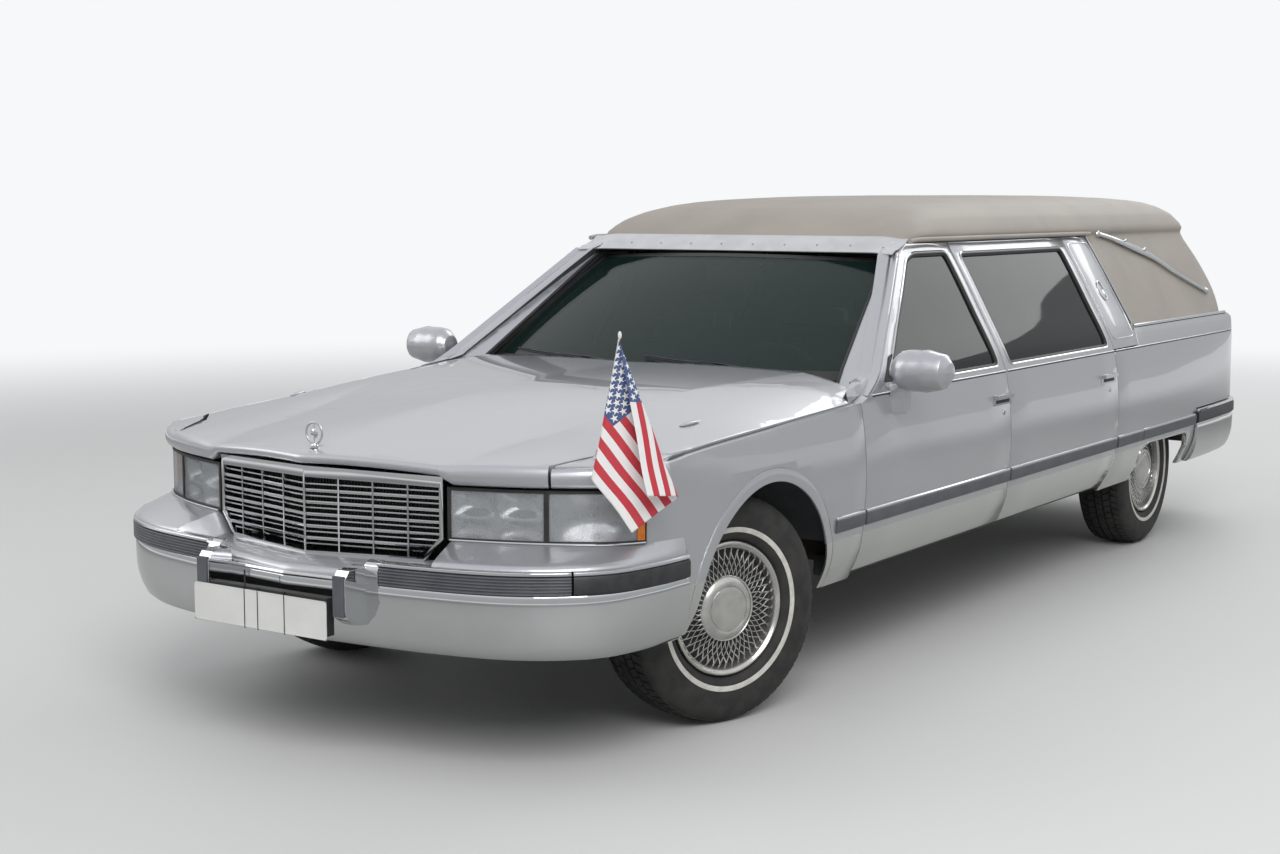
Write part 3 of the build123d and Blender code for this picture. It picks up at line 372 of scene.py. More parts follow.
class Shape:
    def __init__(self, parts):
        # parts: axes of the plane, the line, a point inside, the corners kept sharp, the rounding with those before it
        self.parts = [(axes, np.array(line, float), rounded(line, 8, corners), inside, radius)
                      for axes, line, inside, corners, radius in parts]

    def level(self, points, smooth):
        folded = points.copy()
        folded[:, 0] = np.abs(folded[:, 0])
        total = None
        for axes, hard, soft, inside, radius in self.parts:
            value = away(folded[:, axes], soft if smooth else hard, inside)
            if total is not None:
                value = soften(total, value, radius) if smooth else np.maximum(total, value)
            total = value
        return total

    def slope(self, points, step=0.0005):
        here = self.level(points, True)
        return np.stack([self.level(points + np.eye(3)[k] * step, True) - here for k in range(3)], 1) / step

    def fitted(self, points):
        # each point goes as deep under the smooth form as it was under the one with flats
        goal = self.level(points, False)
        moved = points.copy()
        for _ in range(3):
            here, slope = self.level(moved, True), self.slope(moved)
            moved += slope * ((goal - here) / np.clip((slope**2).sum(1), 0.3, None))[:, None]
        return moved


bodyShape = Shape([((0, 2), sideLine, (0, 0.8), (5,), 0), ((0, 1), noseLine, (0, 0), (), 0.03),
                   ((0, 1), tailLine, (0, 0), (), 0.03)])
crownShape = Shape([((0, 2), roofSection, (0, 1.2), (1, 5), 0), ((1, 2), roofSide, (1.0, 1.2), (), 0.09),
                    ((0, 1), roofPlan, (0, 1.0), (), 0.05)])


def hoodHeight(x, y, smooth):
    table = np.array(hoodStations)
    dense = rounded(table) if smooth else table
    middle, crease, edge, creaseX, edgeX = (np.interp(y, dense[:, 0], dense[:, k]) for k in range(1, 6))
    across = np.abs(x)
    inner = np.clip(across / creaseX, 0, 1)
    outer = np.clip((across - creaseX) / (edgeX - creaseX), 0, 1.4)
    height = np.where(across < creaseX, middle + (crease - middle) * inner, crease + (edge - crease) * outer)
    if smooth:
        share = np.where(across < creaseX, inner, np.clip(outer, 0, 1))
        height += np.where(across < creaseX, *hoodCrown) * 4 * share * (1 - share)
    return height


def raised(points):
    # the hood's surface and what lies just under it rise to the smooth one
    moved = points.copy()
    hard = hoodHeight(points[:, 0], points[:, 1], False)
    soft = hoodHeight(points[:, 0], points[:, 1], True)
    near = np.clip((points[:, 2] - hard + 0.12) / 0.06, 0, 1)
    moved[:, 2] += (soft - hard) * near
    return moved


def meshObject(name, mesh, body, finishes):
    made = bpy.data.objects.new(name, mesh)
    bpy.context.scene.collection.objects.link(made)
    for each in finishes:
        mesh.materials.append(materials[each])
    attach(made, body)
    return made


def spans(low, high, step):
    count = max(int(round((high - low) / step)), 1)
    return [low + (high - low) * k / count for k in range(1, count)]


# the loading door's hinge line from above, how far round it nothing moves, and over how far the fit comes in
loadingPin, pinKeep, pinBlend = (0.666, 2.945), 0.03, 0.04
# faces this deep under the skin are lined, not painted
liningDepth = 0.0245


def panel(node, body, cuts, fit, bevel=0.0018, name=None, finishes=("paint", "lining"), inner=None,
          shown=None):
    # a node of the frame as a fine mesh with soft edges, fitted to the smooth form and standing for the node
    bm = bmesh.new()
    bm.from_mesh(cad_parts[node].data)
    bmesh.ops.remove_doubles(bm, verts=bm.verts, dist=0.0001)
    bmesh.ops.dissolve_limit(bm, angle_limit=radians(0.6), verts=bm.verts, edges=bm.edges)
    if bevel:
        sharp = [e for e in bm.edges if len(e.link_faces) == 2 and e.calc_face_angle(0) > radians(38)
                 and e.calc_length() > 0.004]
        bmesh.ops.bevel(bm, geom=sharp, offset=bevel, segments=2, profile=0.5, affect="EDGES", clamp_overlap=True)
    for axis, low, high, step in cuts:
        for level in spans(low, high, step):
            square = Vector([float(k == axis) for k in range(3)])
            bmesh.ops.bisect_plane(bm, geom=bm.verts[:] + bm.edges[:] + bm.faces[:], dist=1e-5,
                                   plane_co=square * level, plane_no=square)
    bmesh.ops.triangulate(bm, faces=[f for f in bm.faces if len(f.verts) > 4])
    places = np.array([v.co[:] for v in bm.verts])
    if inner:
        bm.faces.ensure_lookup_table()
        centres = np.array([f.calc_center_median()[:] for f in bm.faces])
        depth = inner.level(centres, False)
        for f, d in zip(bm.faces, depth):
            middle = f.calc_center_median()
            hidden = d < -liningDepth and (abs(f.normal.x) < 0.98 or f.normal.x * middle.x < 0)
            f.material_index = 1 if hidden and not (shown and shown(middle, f.normal)) else 0
    start = places.copy()
    for each in fit:
        places = each(places)
    reach = np.linalg.norm(start[:, :2] - np.array(loadingPin), axis=1)
    places = start + (places - start) * np.clip((reach - pinKeep) / pinBlend, 0, 1)[:, None]
    for v, place in zip(bm.verts, places):
        v.co = place
    mesh = bpy.data.meshes.new(name or node)
    bm.to_mesh(mesh)
    bm.free()
    mesh.shade_smooth()
    mesh.set_sharp_from_angle(angle=radians(32))
    made = meshObject(name or node + "_skin", mesh, body, finishes)
    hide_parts(node)
    return made


def ringFaces(rings, around, ends=True):
    # faces between rings of vertices that follow one another, with a face over each end
    faces = []
    for i in range(rings - 1):
        for k in range(around):
            n = (k + 1) % around
            faces.append((i * around + k, i * around + n, (i + 1) * around + n, (i + 1) * around + k))
    if ends:
        faces += [tuple(range(around)), tuple(range((rings - 1) * around, rings * around))]
    return faces


def sweep(path, outs, ups, profile, closed=False):
    # path, outward and upward directions at each station; profile in (out, up)
    count, around = len(path), len(profile)
    verts = [Vector(p) + Vector(o) * a + Vector(u) * b for p, o, u in zip(path, outs, ups) for a, b in profile]
    faces = ringFaces(count, around, not closed)
    if closed:
        last = (count - 1) * around
        faces += [(last + k, last + (k + 1) % around, (k + 1) % around, k) for k in range(around)]
    return verts, faces


def solid(name, pieces, body, finishes, slot, angle=35, bevel=0.0):
    # pieces: (vertices, faces) or (vertices, faces, material number)
    bm = bmesh.new()
    for verts, faces, *number in pieces:
        made = [bm.verts.new(v) for v in verts]
        for f in faces:
            if len(set(f)) > 2:
                bm.faces.new([made[i] for i in f]).material_index = number[0] if number else 0
    bmesh.ops.remove_doubles(bm, verts=bm.verts, dist=0.00002)
    bmesh.ops.recalc_face_normals(bm, faces=bm.faces)
    mesh = bpy.data.meshes.new(name)
    bm.to_mesh(mesh)
    bm.free()
    mesh.shade_smooth()
    mesh.set_sharp_from_angle(angle=radians(angle))
    made = meshObject(name, mesh, body, finishes)
    if bevel:
        edge = made.modifiers.new("softEdge", "BEVEL")
        edge.width = bevel
        edge.segments = 2
        edge.limit_method = "ANGLE"
        edge.angle_limit = radians(38)
    return made


sideCuts = (2, 0.335, 1.445, 0.026)
frontDoorCuts, rearDoorCuts = [sideCuts, (1, -1.29, -0.08, 0.2)], [sideCuts, (1, -0.09, 1.09, 0.2)]
# node: body, cuts (axis, low, high, step)
panelTable = {
    "front_fenders": ("body", [sideCuts, (1, -2.7, -2.1, 0.03), (1, -2.1, -1.29, 0.09), (0, 0.7, 0.97, 0.03),
                               (0, -0.97, -0.7, 0.03)]),
    "quarter_panels": ("body", [sideCuts, (1, 2.4, 2.93, 0.03), (1, 1.08, 2.4, 0.15), (0, 0.66, 0.98, 0.03),
                                (0, -0.98, -0.66, 0.03)]),
    "front_door_left": ("front_door_left_body", frontDoorCuts),
    "front_door_right": ("front_door_right_body", frontDoorCuts),
    "rear_door_left": ("rear_door_left_body", rearDoorCuts),
    "rear_door_right": ("rear_door_right_body", rearDoorCuts),
    "body_frame": ("body", [(2, 0.9, 1.445, 0.03)]),
}
# faces deep under the side's skin that are painted all the same: the lamp caps' tops and the screen pillars' fronts
openFaces = {
    "front_fenders": lambda place, normal: place.z > 0.8 and normal.z > 0.3,
    "body_frame": lambda place, normal: place.y < -0.4 and place.z > 0.93 and normal.z > 0.15 and normal.y < 0.4,
}


def makePanels():
    for node, (body, cuts) in panelTable.items():
        fits = [raised, bodyShape.fitted] if node == "front_fenders" else [bodyShape.fitted]
        panel(node, body, cuts, fits, inner=bodyShape, shown=openFaces.get(node))
        print("panel", node)
    cuts = [(0, -0.94, 0.94, 0.035), (1, -2.9, -1.19, 0.05)]
    panel("hood", "hood_body", cuts, [raised], bevel=0.004, finishes=("paint",))
    cuts = [(0, -0.96, 0.96, 0.05), (1, -0.46, 2.87, 0.06), (2, 1.03, 1.65, 0.04)]
    panel("roof", "body", cuts, [crownShape.fitted], bevel=0.0, finishes=("vinyl",))
    for name in ("front_window_left", "front_window_right", "rear_window_left", "rear_window_right"):
        body = name.replace("window", "door") + "_body"
        panel(name, body, [(2, 0.97, 1.41, 0.03)], [bodyShape.fitted], bevel=0.0, finishes=("sideGlassTintAndReflection",))
    print("roof, hood and side glass done")


makePanels()


def onSkin(lengths, heights, out=0.0):
    # the left side's skin at (y, z) pairs, with its outward and upward directions
    ys, zs = np.array(lengths, float), np.array(heights, float)
    soft = bodyShape.parts[0][2]
    places = np.stack([np.interp(zs, soft[:, 1], soft[:, 0]), ys, zs], 1)
    for _ in range(8):
        places[:, 0] -= bodyShape.level(places, True)
    slope = bodyShape.slope(places)
    slope /= np.linalg.norm(slope, axis=1)[:, None]
    along = np.gradient(places, axis=0)
    along /= np.linalg.norm(along, axis=1)[:, None]
    ups = np.cross(along, slope)
    return places + slope * out, slope, ups


def keep(piece):
    return piece


def flip(piece):
    # the same piece on the other side of the car
    return ([Vector((-v[0], v[1], v[2])) for v in piece[0]],) + tuple(piece[1:])


sides = (("left", keep), ("right", flip))


def stripOn(y0, y1, z, profile, number=0, step=0.06):
    # a straight strip along the left skin at one height
    count = max(int(abs(y1 - y0) / step), 1) + 1
    places, outs, ups = onSkin(np.linspace(y0, y1, count), [z] * count)
    ups = np.where(ups[:, 2:3] < 0, -ups, ups)
    return sweep(places, outs, ups, profile) + (number,)


def loopOn(outline, profile, number=0, fine=0.03, corner=0.03):
    # a closed moulding that follows an outline of (y, z) points on the skin, with rounded corners
    pts = [np.array(p, float) for p in outline]
    path = []
    for i, here in enumerate(pts):
        before, after = pts[i - 1], pts[(i + 1) % len(pts)]
        a, b = before - here, after - here
        la, lb = np.linalg.norm(a), np.linalg.norm(b)
        cut = min(corner, la * 0.45, lb * 0.45)
        start, end = here + a / la * cut, here + b / lb * cut
        for t in np.linspace(0, 1, 5):
            path.append((1 - t) ** 2 * start + 2 * t * (1 - t) * here + t ** 2 * end)
        gap = after - b / lb * min(corner, lb * 0.45) - end
        count = max(int(np.linalg.norm(gap) / fine), 1)
        for k in range(1, count):
            path.append(end + gap * k / count)
    path = np.array(path)
    places, outs, _ = onSkin(path[:, 0], path[:, 1])
    along = np.roll(places, -1, 0) - np.roll(places, 1, 0)
    along /= np.linalg.norm(along, axis=1)[:, None]
    return sweep(places, outs, np.cross(along, outs), profile, closed=True) + (number,)


def distances(line):
    # how far along a line each of its points is
    return np.concatenate([[0], np.cumsum(np.linalg.norm(np.diff(line, axis=0), axis=1))])


def planCurve(points, steps=10):
    # a smooth half line seen from above, with its outward directions
    line = rounded(points, steps)
    run = np.gradient(line, axis=0)
    square = np.stack([-run[:, 1], run[:, 0]], 1) * (-1 if points[0][1] < 0 else 1)
    square[0] = (0, -1 if points[0][1] < 0 else 1)
    square /= np.linalg.norm(square, axis=1)[:, None]
    if square[-1][0] < 0:
        square = -square
    return line, square


def planPath(points, x0, x1=None, y1=None):
    # the part of the smooth half line between two half widths, or up to a length along the car
    line, square = planCurve(points)
    reach = distances(line)
    first = np.interp(x0, line[:, 0], reach)
    if x1 is not None:
        last = np.interp(x1, line[:, 0], reach)
    else:
        order = 1 if line[-1][1] > line[0][1] else -1
        last = np.interp(order * y1, order * line[:, 1], reach)
    where = np.linspace(first, last, max(int((last - first) / 0.02), 2))
    pick = [np.interp(where, reach, line[:, k]) for k in range(2)]
    face = [np.interp(where, reach, square[:, k]) for k in range(2)]
    length = np.hypot(*face)
    return np.stack(pick, 1), np.stack([face[0] / length, face[1] / length], 1)


def bandAlong(points, x0, profile, x1=None, y1=None, number=0):
    # a band with a profile of (out, height) that follows a half line, closed through the middle if it starts there
    line, square = planPath(points, x0, x1, y1)
    places = [(p[0], p[1], 0) for p in line]
    outs = [(s[0], s[1], 0) for s in square]
    if x0 == 0:
        places = [(-p[0], p[1], 0) for p in places[:0:-1]] + places
        outs = [(-s[0], s[1], 0) for s in outs[:0:-1]] + outs
    return sweep(places, outs, [(0, 0, 1)] * len(places), profile) + (number,)


def slab(front, back):
    # two grids of the same size closed into one thin piece
    rows, cols = len(front), len(front[0])
    verts = [v for grid in (front, back) for row in grid for v in row]
    count = rows * cols
    faces = []
    for i in range(rows - 1):
        for j in range(cols - 1):
            a, b, c, d = i * cols + j, i * cols + j + 1, (i + 1) * cols + j + 1, (i + 1) * cols + j
            faces.append((a, b, c, d))
            faces.append((a + count, d + count, c + count, b + count))
    rim = list(range(cols)) + [i * cols + cols - 1 for i in range(1, rows)]
    rim += [(rows - 1) * cols + j for j in range(cols - 2, -1, -1)] + [i * cols for i in range(rows - 2, 0, -1)]
    for k, a in enumerate(rim):
        b = rim[(k + 1) % len(rim)]
        faces.append((a, a + count, b + count, b))
    return verts, faces


brickFaces = [(0, 1, 3, 2), (4, 6, 7, 5), (0, 4, 5, 1), (2, 3, 7, 6), (0, 2, 6, 4), (1, 5, 7, 3)]


def brick(low, high):
    (x0, y0, z0), (x1, y1, z1) = low, high
    return [(x, y, z) for x in (x0, x1) for y in (y0, y1) for z in (z0, z1)], brickFaces


def prismFaces(count):
    # the faces of an outline and its copy, whose vertices follow it in the same order
    return ringFaces(2, count)


def lathe(profile, steps=32, axis=0, centre=(0, 0, 0)):
    # profile of (along, radius) turned about an axis through a centre
    verts = []
    around = [k for k in range(3) if k != axis]
    for along, radius in profile:
        for k in range(steps):
            place = [0.0, 0.0, 0.0]
            place[axis] = centre[axis] + along
            place[around[0]] = centre[around[0]] + radius * cos(2 * pi * k / steps)
            place[around[1]] = centre[around[1]] + radius * sin(2 * pi * k / steps)
            verts.append(tuple(place))
    return verts, ringFaces(len(profile), steps, False)


# the guards' place, half width and pad, where the ribbed pads start and end, and where both bumpers end
frontEnd = {"guardX": 0.266, "guardHalf": 0.026, "guardPad": 0.019, "padStart": 0.337, "sideJoint": 0.86,
            "frontEndY": -2.362, "rearEndY": 2.18, "rearJoint": 0.9}


def bumperFace(line, endY):
    outer = [(-0.05, 0.345), (-0.03, 0.362), (-0.016, 0.39), (-0.007, 0.42), (-0.002, 0.45), (0.0, 0.5), (0.0, 0.526),
             (-0.003, 0.533)]
    inner = [(-0.044, 0.533), (-0.052, 0.42), (-0.09, 0.345)]
    return bandAlong(line, 0, outer + inner, y1=endY)


def ribbedPad(low, high, ribs, depth):
    # a pad's profile with grooves between its ribs
    pitch = (high - low) / ribs
    made = [(-0.02, low)]
    for k in range(ribs):
        z = low + pitch * k
        made += [(depth - 0.004, z + 0.001), (depth, z + 0.003)]
        made += [(depth, z + pitch - 0.003), (depth - 0.004, z + pitch - 0.001)]
    return made + [(-0.02, high)]


padBead = [(-0.03, 0.587), (0.001, 0.587), (0.005, 0.59), (0.004, 0.597), (-0.002, 0.6), (-0.03, 0.6)]
smoothPad = [(-0.02, 0.534), (0.002, 0.535), (0.006, 0.54), (0.006, 0.58), (0.002, 0.586), (-0.02, 0.587)]
bumperFinishes = ("chrome", "stripGrey", "trimBlack", "paint")


def padEnds(line, start, endY):
    # the smooth end of a bumper's pad and the painted bead over it, on both sides
    return [turn(bandAlong(line, start, profile, y1=endY, number=number))
            for turn in (keep, flip) for profile, number in ((smoothPad, 2), (padBead, 3))]


def makeBumpers():
    line = frontBumperLine
    lip = [(-0.03, 0.533), (0.001, 0.533), (0.004, 0.538), (0.001, 0.545), (-0.03, 0.546)]
    shoulder = [(-0.035, 0.528), (0.0, 0.528), (0.004, 0.54), (0.003, 0.574), (-0.005, 0.59), (-0.02, 0.5985),
                (-0.035, 0.6)]
    guard = [(-2.94, 0.418), (-2.99, 0.424), (-3.022, 0.445), (-3.03, 0.47), (-3.03, 0.556), (-3.012, 0.58),
             (-2.94, 0.584)]
    joint, padStart, half = frontEnd["sideJoint"], frontEnd["padStart"], frontEnd["guardHalf"]
    pieces = [bumperFace(line, frontEnd["frontEndY"]), bandAlong(line, 0, lip, x1=0.3)]
    pieces += padEnds(line, joint + 0.004, frontEnd["frontEndY"] - 0.004)
    for side, turn in ((1, keep), (-1, flip)):
        pieces.append(turn(bandAlong(line, padStart - 0.004, padBead, x1=joint)))
        pieces.append(turn(bandAlong(line, 0.285, shoulder, x1=padStart - 0.003)))
        pieces.append(turn(bandAlong(line, padStart, ribbedPad(0.534, 0.586, 6, 0.006), x1=joint, number=1)))
        x = frontEnd["guardX"] * side
        body = [(x + s * half * (1.0 if y > -3.0 else 0.86), y, z) for s in (-1, 1) for y, z in guard]
        pieces.append((body, prismFaces(len(guard))))
        pad = frontEnd["guardPad"]
        pieces.append(brick((x - pad, -3.036, 0.452), (x + pad, -3.024, 0.566)) + (1,))
    made = solid("frontBumperFace", pieces, "body", bumperFinishes, "chrome", bevel=0.0015)
    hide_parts("front_bumper")
    line, joint = rearBumperLine, frontEnd["rearJoint"]
    rear = [bumperFace(line, frontEnd["rearEndY"]), bandAlong(line, 0, padBead, x1=joint),
            bandAlong(line, 0, ribbedPad(0.534, 0.586, 6, 0.005), x1=joint, number=1)]
    rear += padEnds(line, joint + 0.004, frontEnd["rearEndY"] + 0.002)
    made = solid("rearBumperFace", rear, "body", bumperFinishes, "chrome", bevel=0.0015)
    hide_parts("rear_bumper")
    print("bumpers done")


# the plate's middle, size, lowest height and front, and where its ties stand along it
plateSizes = {"middle": -0.034, "wide": 0.52, "tall": 0.11, "low": 0.382, "front": -3.0385, "thick": 0.0012,
              "edge": 0.004, "corner": (0.002, 0.006), "ties": (0.39, 0.49, 0.69)}


def makePlate():
    wide, tall, y, edge = (plateSizes[key] for key in ("wide", "tall", "front", "edge"))
    x0, z0 = plateSizes["middle"] - wide / 2, plateSizes["low"]
    a, b = plateSizes["corner"]
    rim = [(0.0, b), (a, 0.0), (wide - a, 0.0), (wide, b), (wide, tall - b), (wide - a, tall), (a, tall),
           (0.0, tall - b)]
    pieces = [([(x0 + u, y + d, z0 + v) for d in (0.0, plateSizes["thick"]) for u, v in rim], prismFaces(len(rim)))]
    for low, high in (((0, 0), (wide, edge)), ((0, tall - edge), (wide, tall)), ((0, 0), (edge, tall)),
                      ((wide - edge, 0), (wide, tall))):
        pieces.append(brick((x0 + low[0], y - 0.0006, z0 + low[1]), (x0 + high[0], y + 0.0002, z0 + high[1])))
    pieces.append(brick((-0.236, -3.0355, z0 + 0.01), (0.224, -3.006, z0 + tall + 0.008)) + (1,))
    for share in plateSizes["ties"]:
        x = x0 + wide * share
        pieces.append(brick((x - 0.0013, y - 0.0014, z0 - 0.003), (x + 0.0013, y + 0.0028, z0 + tall + 0.01)) + (1,))
    x = x0 + wide * plateSizes["ties"][0]
    pieces.append(brick((x - 0.002, y + 0.002, z0 + tall), (x + 0.002, y + 0.005, z0 + tall + 0.055)) + (1,))
    solid("plateBlank", pieces, "body", ("plateWhite", "rubber"), "trim", bevel=0.0006)


def lampPane(low, high, zLow, zHigh, out, columns, rows, fluting, number=0, thick=0.004):
    # a pane along the nose between two distances along its curve; fluting moves its front by share, height and column
    line, square = planCurve(noseLine, 16)
    reach = distances(line)
    front, back = [], []
    for j in range(rows + 1):
        z = zLow + (zHigh - zLow) * j / rows
        rowA, rowB = [], []
        for i in range(columns + 1):
            at = low + (high - low) * i / columns
            place = np.array([np.interp(at, reach, line[:, k]) for k in range(2)])
            face = np.array([np.interp(at, reach, square[:, k]) for k in range(2)])
            face /= np.linalg.norm(face)
            push = out + fluting(i / columns, j / rows, i)
            rowA.append((*(place + face * push), z))
            rowB.append((*(place + face * (out - thick)), z))
        front.append(rowA)
        back.append(rowB)
    return slab(front, back) + (number,)


# the glass's heights, both lamps' ends across the nose or along it, where the amber starts and the bowls part
lampSizes = {"low": 0.652, "high": 0.794, "inner": (0.456, 0.716), "outerStart": 0.725, "outerEnd": -2.505,
             "amber": 0.9, "split": 0.42}


def bowls(u, v, i):
    # two deep bowls above, two wide shallow ones below
    split = lampSizes["split"]
    across = (u * 2) % 1.0
    middle = 1 - (2 * across - 1) ** 2
    if v > split:
        return -0.035 * middle * (1 - (2 * (v - split) / (1 - split) - 1) ** 2)
    return -0.02 * middle * (1 - (2 * v / split - 1) ** 2)


def makeLamps():
    line, _ = planCurve(noseLine, 16)
    reach = distances(line)
    a, b = (np.interp(x, line[:, 0], reach) for x in lampSizes["inner"])
    c, d = np.interp(lampSizes["outerStart"], line[:, 0], reach), np.interp(lampSizes["outerEnd"], line[:, 1], reach)
    amber = c + (d - c) * lampSizes["amber"]
    flat = lambda u, v, i: 0.0
    ribs = lambda u, v, i: 0.002 * (i % 2)
    facets = lambda u, v, i: 0.0012 * (i % 2) * (1 if v > 0.72 or v < 0.5 else 0.4)
    dish = lambda u, v, i: -0.03 * sin(pi * u) * sin(pi * v)
    low, high = lampSizes["low"], lampSizes["high"]
    lowIn, highIn, lowOut, highOut = low + 0.004, high - 0.004, low - 0.004, high + 0.004
    # black surround of each lamp, then its reflector
    panes = [(a - 0.006, b + 0.004, lowOut, highOut, -0.055, 12, 1, flat, 1, 0.03),
             (c - 0.005, d + 0.006, lowOut, highOut, -0.055, 16, 1, flat, 1, 0.03)]
    for z0, z1 in ((low - 0.0045, lowIn), (highIn, high + 0.0045)):
        panes += [(a - 0.007, b + 0.004, z0, z1, -0.003, 12, 1, flat, 1, 0.07),
                  (c - 0.005, d + 0.007, z0, z1, -0.003, 16, 1, flat, 1, 0.07)]
    posts = ((a - 0.007, a + 0.002), (b - 0.002, b + 0.0045), (c - 0.005, c + 0.002), (d - 0.002, d + 0.008))
    panes += [(s0, s1, lowOut, highOut, -0.003, 1, 1, flat, 1, 0.05) for s0, s1 in posts]
    panes += [(a + 0.002, b - 0.002, lowIn, highIn, -0.016, 28, 20, bowls, 0, 0.03),
              (c + 0.002, amber, lowIn, highIn, -0.018, 28, 12, dish, 0, 0.03)]
    # the clear panes and the amber end
    lenses = [(a + 0.002, b - 0.002, lowIn, highIn, -0.007, 64, 12, facets),
              (c + 0.002, amber - 0.001, lowIn, highIn, -0.007, 48, 1, ribs),
              (amber + 0.001, d - 0.002, lowIn, highIn, -0.006, 8, 1, ribs, 1, 0.02)]
    bodies = solid("lampBodies", [turn(lampPane(*pane)) for turn in (keep, flip) for pane in panes], "body",
                   ("reflector", "rubber"), "chrome", angle=50)
    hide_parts("headlamps")
    solid("lampLenses", [turn(lampPane(*pane)) for turn in (keep, flip) for pane in lenses], "body",
          ("lensClear", "lensAmber"), "lamp_glass", angle=20)
    print("lamps done")


def bridge(bodyLine, bumperLine, endY, middle, ends, halfway=(0.428, 0.034), middleReach=0.0815):
    # a shelf from the body's line out to the bumper's; its profile changes from middle to ends beside the grille
    line, square = planPath(bodyLine, 0, y1=endY)
    bumper = planCurve(bumperLine, 30)[0]
    verts = []
    for p, s in zip(line, square):
        gap = bumper - p
        reach = float((gap @ s)[np.argmin(np.abs(gap[:, 0] * s[1] - gap[:, 1] * s[0]) + (gap @ s < 0))]) - 0.004
        turn = min(max((p[0] - halfway[0]) / halfway[1], 0), 1)
        reach = middleReach + (max(reach, 0.004) - middleReach) * turn
        for (u, low), (v, high) in zip(middle, ends):
            out = (u + (v - u) * turn) * reach
            verts.append((p[0] + s[0] * out, p[1] + s[1] * out, low + (high - low) * turn))
    around, count = len(middle), len(line)
    verts = [(-x, y, z) for k in range(count - 1, 0, -1) for x, y, z in verts[k * around:(k + 1) * around]] + verts
    return verts, ringFaces(2 * count - 1, around), 0


def makeNose():
    under = [(-0.37, 0.584), (0.0, 0.584), (0.43, 0.574), (0.8, 0.5615), (0.94, 0.5545), (1.0, 0.547), (1.0, 0.5415),
             (0.67, 0.5415), (-0.37, 0.564)]
    beside = [(-0.25, 0.648), (0.02, 0.648), (0.37, 0.6345), (0.73, 0.6205), (0.91, 0.6125), (0.988, 0.6055),
              (1.0, 0.6005), (0.7, 0.6005), (-0.25, 0.632)]
    line = [(0.074, 0.5425), (0.0838, 0.5425), (0.0838, 0.5365), (0.074, 0.5365)]
    bands = [bridge(noseLine, frontBumperLine, -2.372, under, beside), bandAlong(noseLine, 0, line, x1=0.3, number=1)]
    made = solid("noseFiller", bands, "body", ("paint", "rubber"), "paint", angle=50)
    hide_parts("front_fascia")
    panel("grille", "body", [], [], bevel=0.0011, finishes=("chrome",), name="grilleBright")
    # the radiator with its fins behind the grille, and the bright line under the lamps
    core = [brick((-0.36, -2.7, 0.5), (0.36, -2.668, 0.8))]
    core += [brick((x - 0.0012, -2.704, 0.505), (x + 0.0012, -2.699, 0.795)) for x in np.linspace(-0.355, 0.355, 58)]
    solid("radiatorCore", core, "body", ("trimBlack",), "trim")
    trim = [(-0.012, 0.6485), (0.0035, 0.6485), (0.0045, 0.6505), (0.002, 0.653), (-0.012, 0.653)]
    solid("lampBright", [turn(bandAlong(noseLine, 0.456, trim, y1=-2.51)) for turn in (keep, flip)], "body",
          ("chrome",), "chrome")
    print("nose done")


makeBumpers()
makePlate()
makeLamps()
makeNose()

# the rub strip's heights and thickness, its bright bead, the window's bead and seal, and the belt line's height
sideTrim = {"stripLow": 0.529, "stripHigh": 0.582, "stripOut": 0.009, "beadHeight": 0.009,
            "windowBead": 0.0055, "windowSeal": 0.011, "beltHeight": 0.9485}
frontWindow = [(-1.04, 1.0), (-0.5, 1.38), (-0.43, 1.398), (-0.144, 1.398), (-0.138, 0.975), (-1.0, 0.975)]
rearWindow = [(-0.03, 0.975), (-0.03, 1.39), (1.012, 1.39), (1.026, 0.975)]


def pieceName(bodyName, side):
    # the door's name, or the side where a piece stays on the body
    return side if bodyName == "body" else bodyName.format(side).replace("_body", "")


def dressSides(name, runs, height, profiles, finishes, **settings):
    # strips along both sides, one piece a door and one for what stays on the body
    for side, turn in sides:
        for bodyName, spansHere in runs.items():
            pieces = [turn(stripOn(y0, y1, height, profile, number)) for y0, y1 in spansHere
                      for number, profile in enumerate(profiles)]
            solid(name + "_" + pieceName(bodyName, side), pieces, bodyName.format(side), finishes, "trim", **settings)


def makeSideTrim():
    low, high, out = sideTrim["stripLow"], sideTrim["stripHigh"], sideTrim["stripOut"]
    half = (high - low) / 2
    bead = half - sideTrim["beadHeight"]
    pad = [(-0.006, -half), (out * 0.6, -half), (out, -half + 0.006), (out, bead - 0.002), (out * 0.7, bead),
           (-0.006, bead)]
    top = [(-0.006, bead), (out * 0.8, bead), (out * 0.9, (bead + half) / 2), (out * 0.5, half), (-0.006, half)]
    runs = {"body": [(-1.484, -1.293), (1.093, 1.411), (1.418, 2.166)], "front_door_{}_body": [(-1.277, -0.094)],
            "rear_door_{}_body": [(-0.078, 1.072)]}
    dressSides("rubStrip", runs, (low + high) / 2, (pad, top), ("stripGrey", "chrome"), bevel=0.0008)
    b, s = sideTrim["windowBead"], sideTrim["windowSeal"]
    # bright bead outside, black seal inside it down to the glass
    bright = [(-0.004, 0.0), (-0.004, -b * 1.6), (0.002, -b * 1.6), (0.0035, -b * 0.8), (0.002, 0.0)]
    seal = [(-0.014, s), (-0.014, -0.001), (0.001, -0.001), (0.002, 0.003), (-0.004, s)]
    for side, turn in sides:
        for name, outline in (("front", frontWindow), ("rear", rearWindow)):
            pieces = [turn(loopOn(outline, bright, 0)), turn(loopOn(outline, seal, 1))]
            solid(f"windowFrame_{name}_{side}", pieces, f"{name}_door_{side}_body", ("chrome", "rubber"), "chrome")
    print("strips and window frames done")


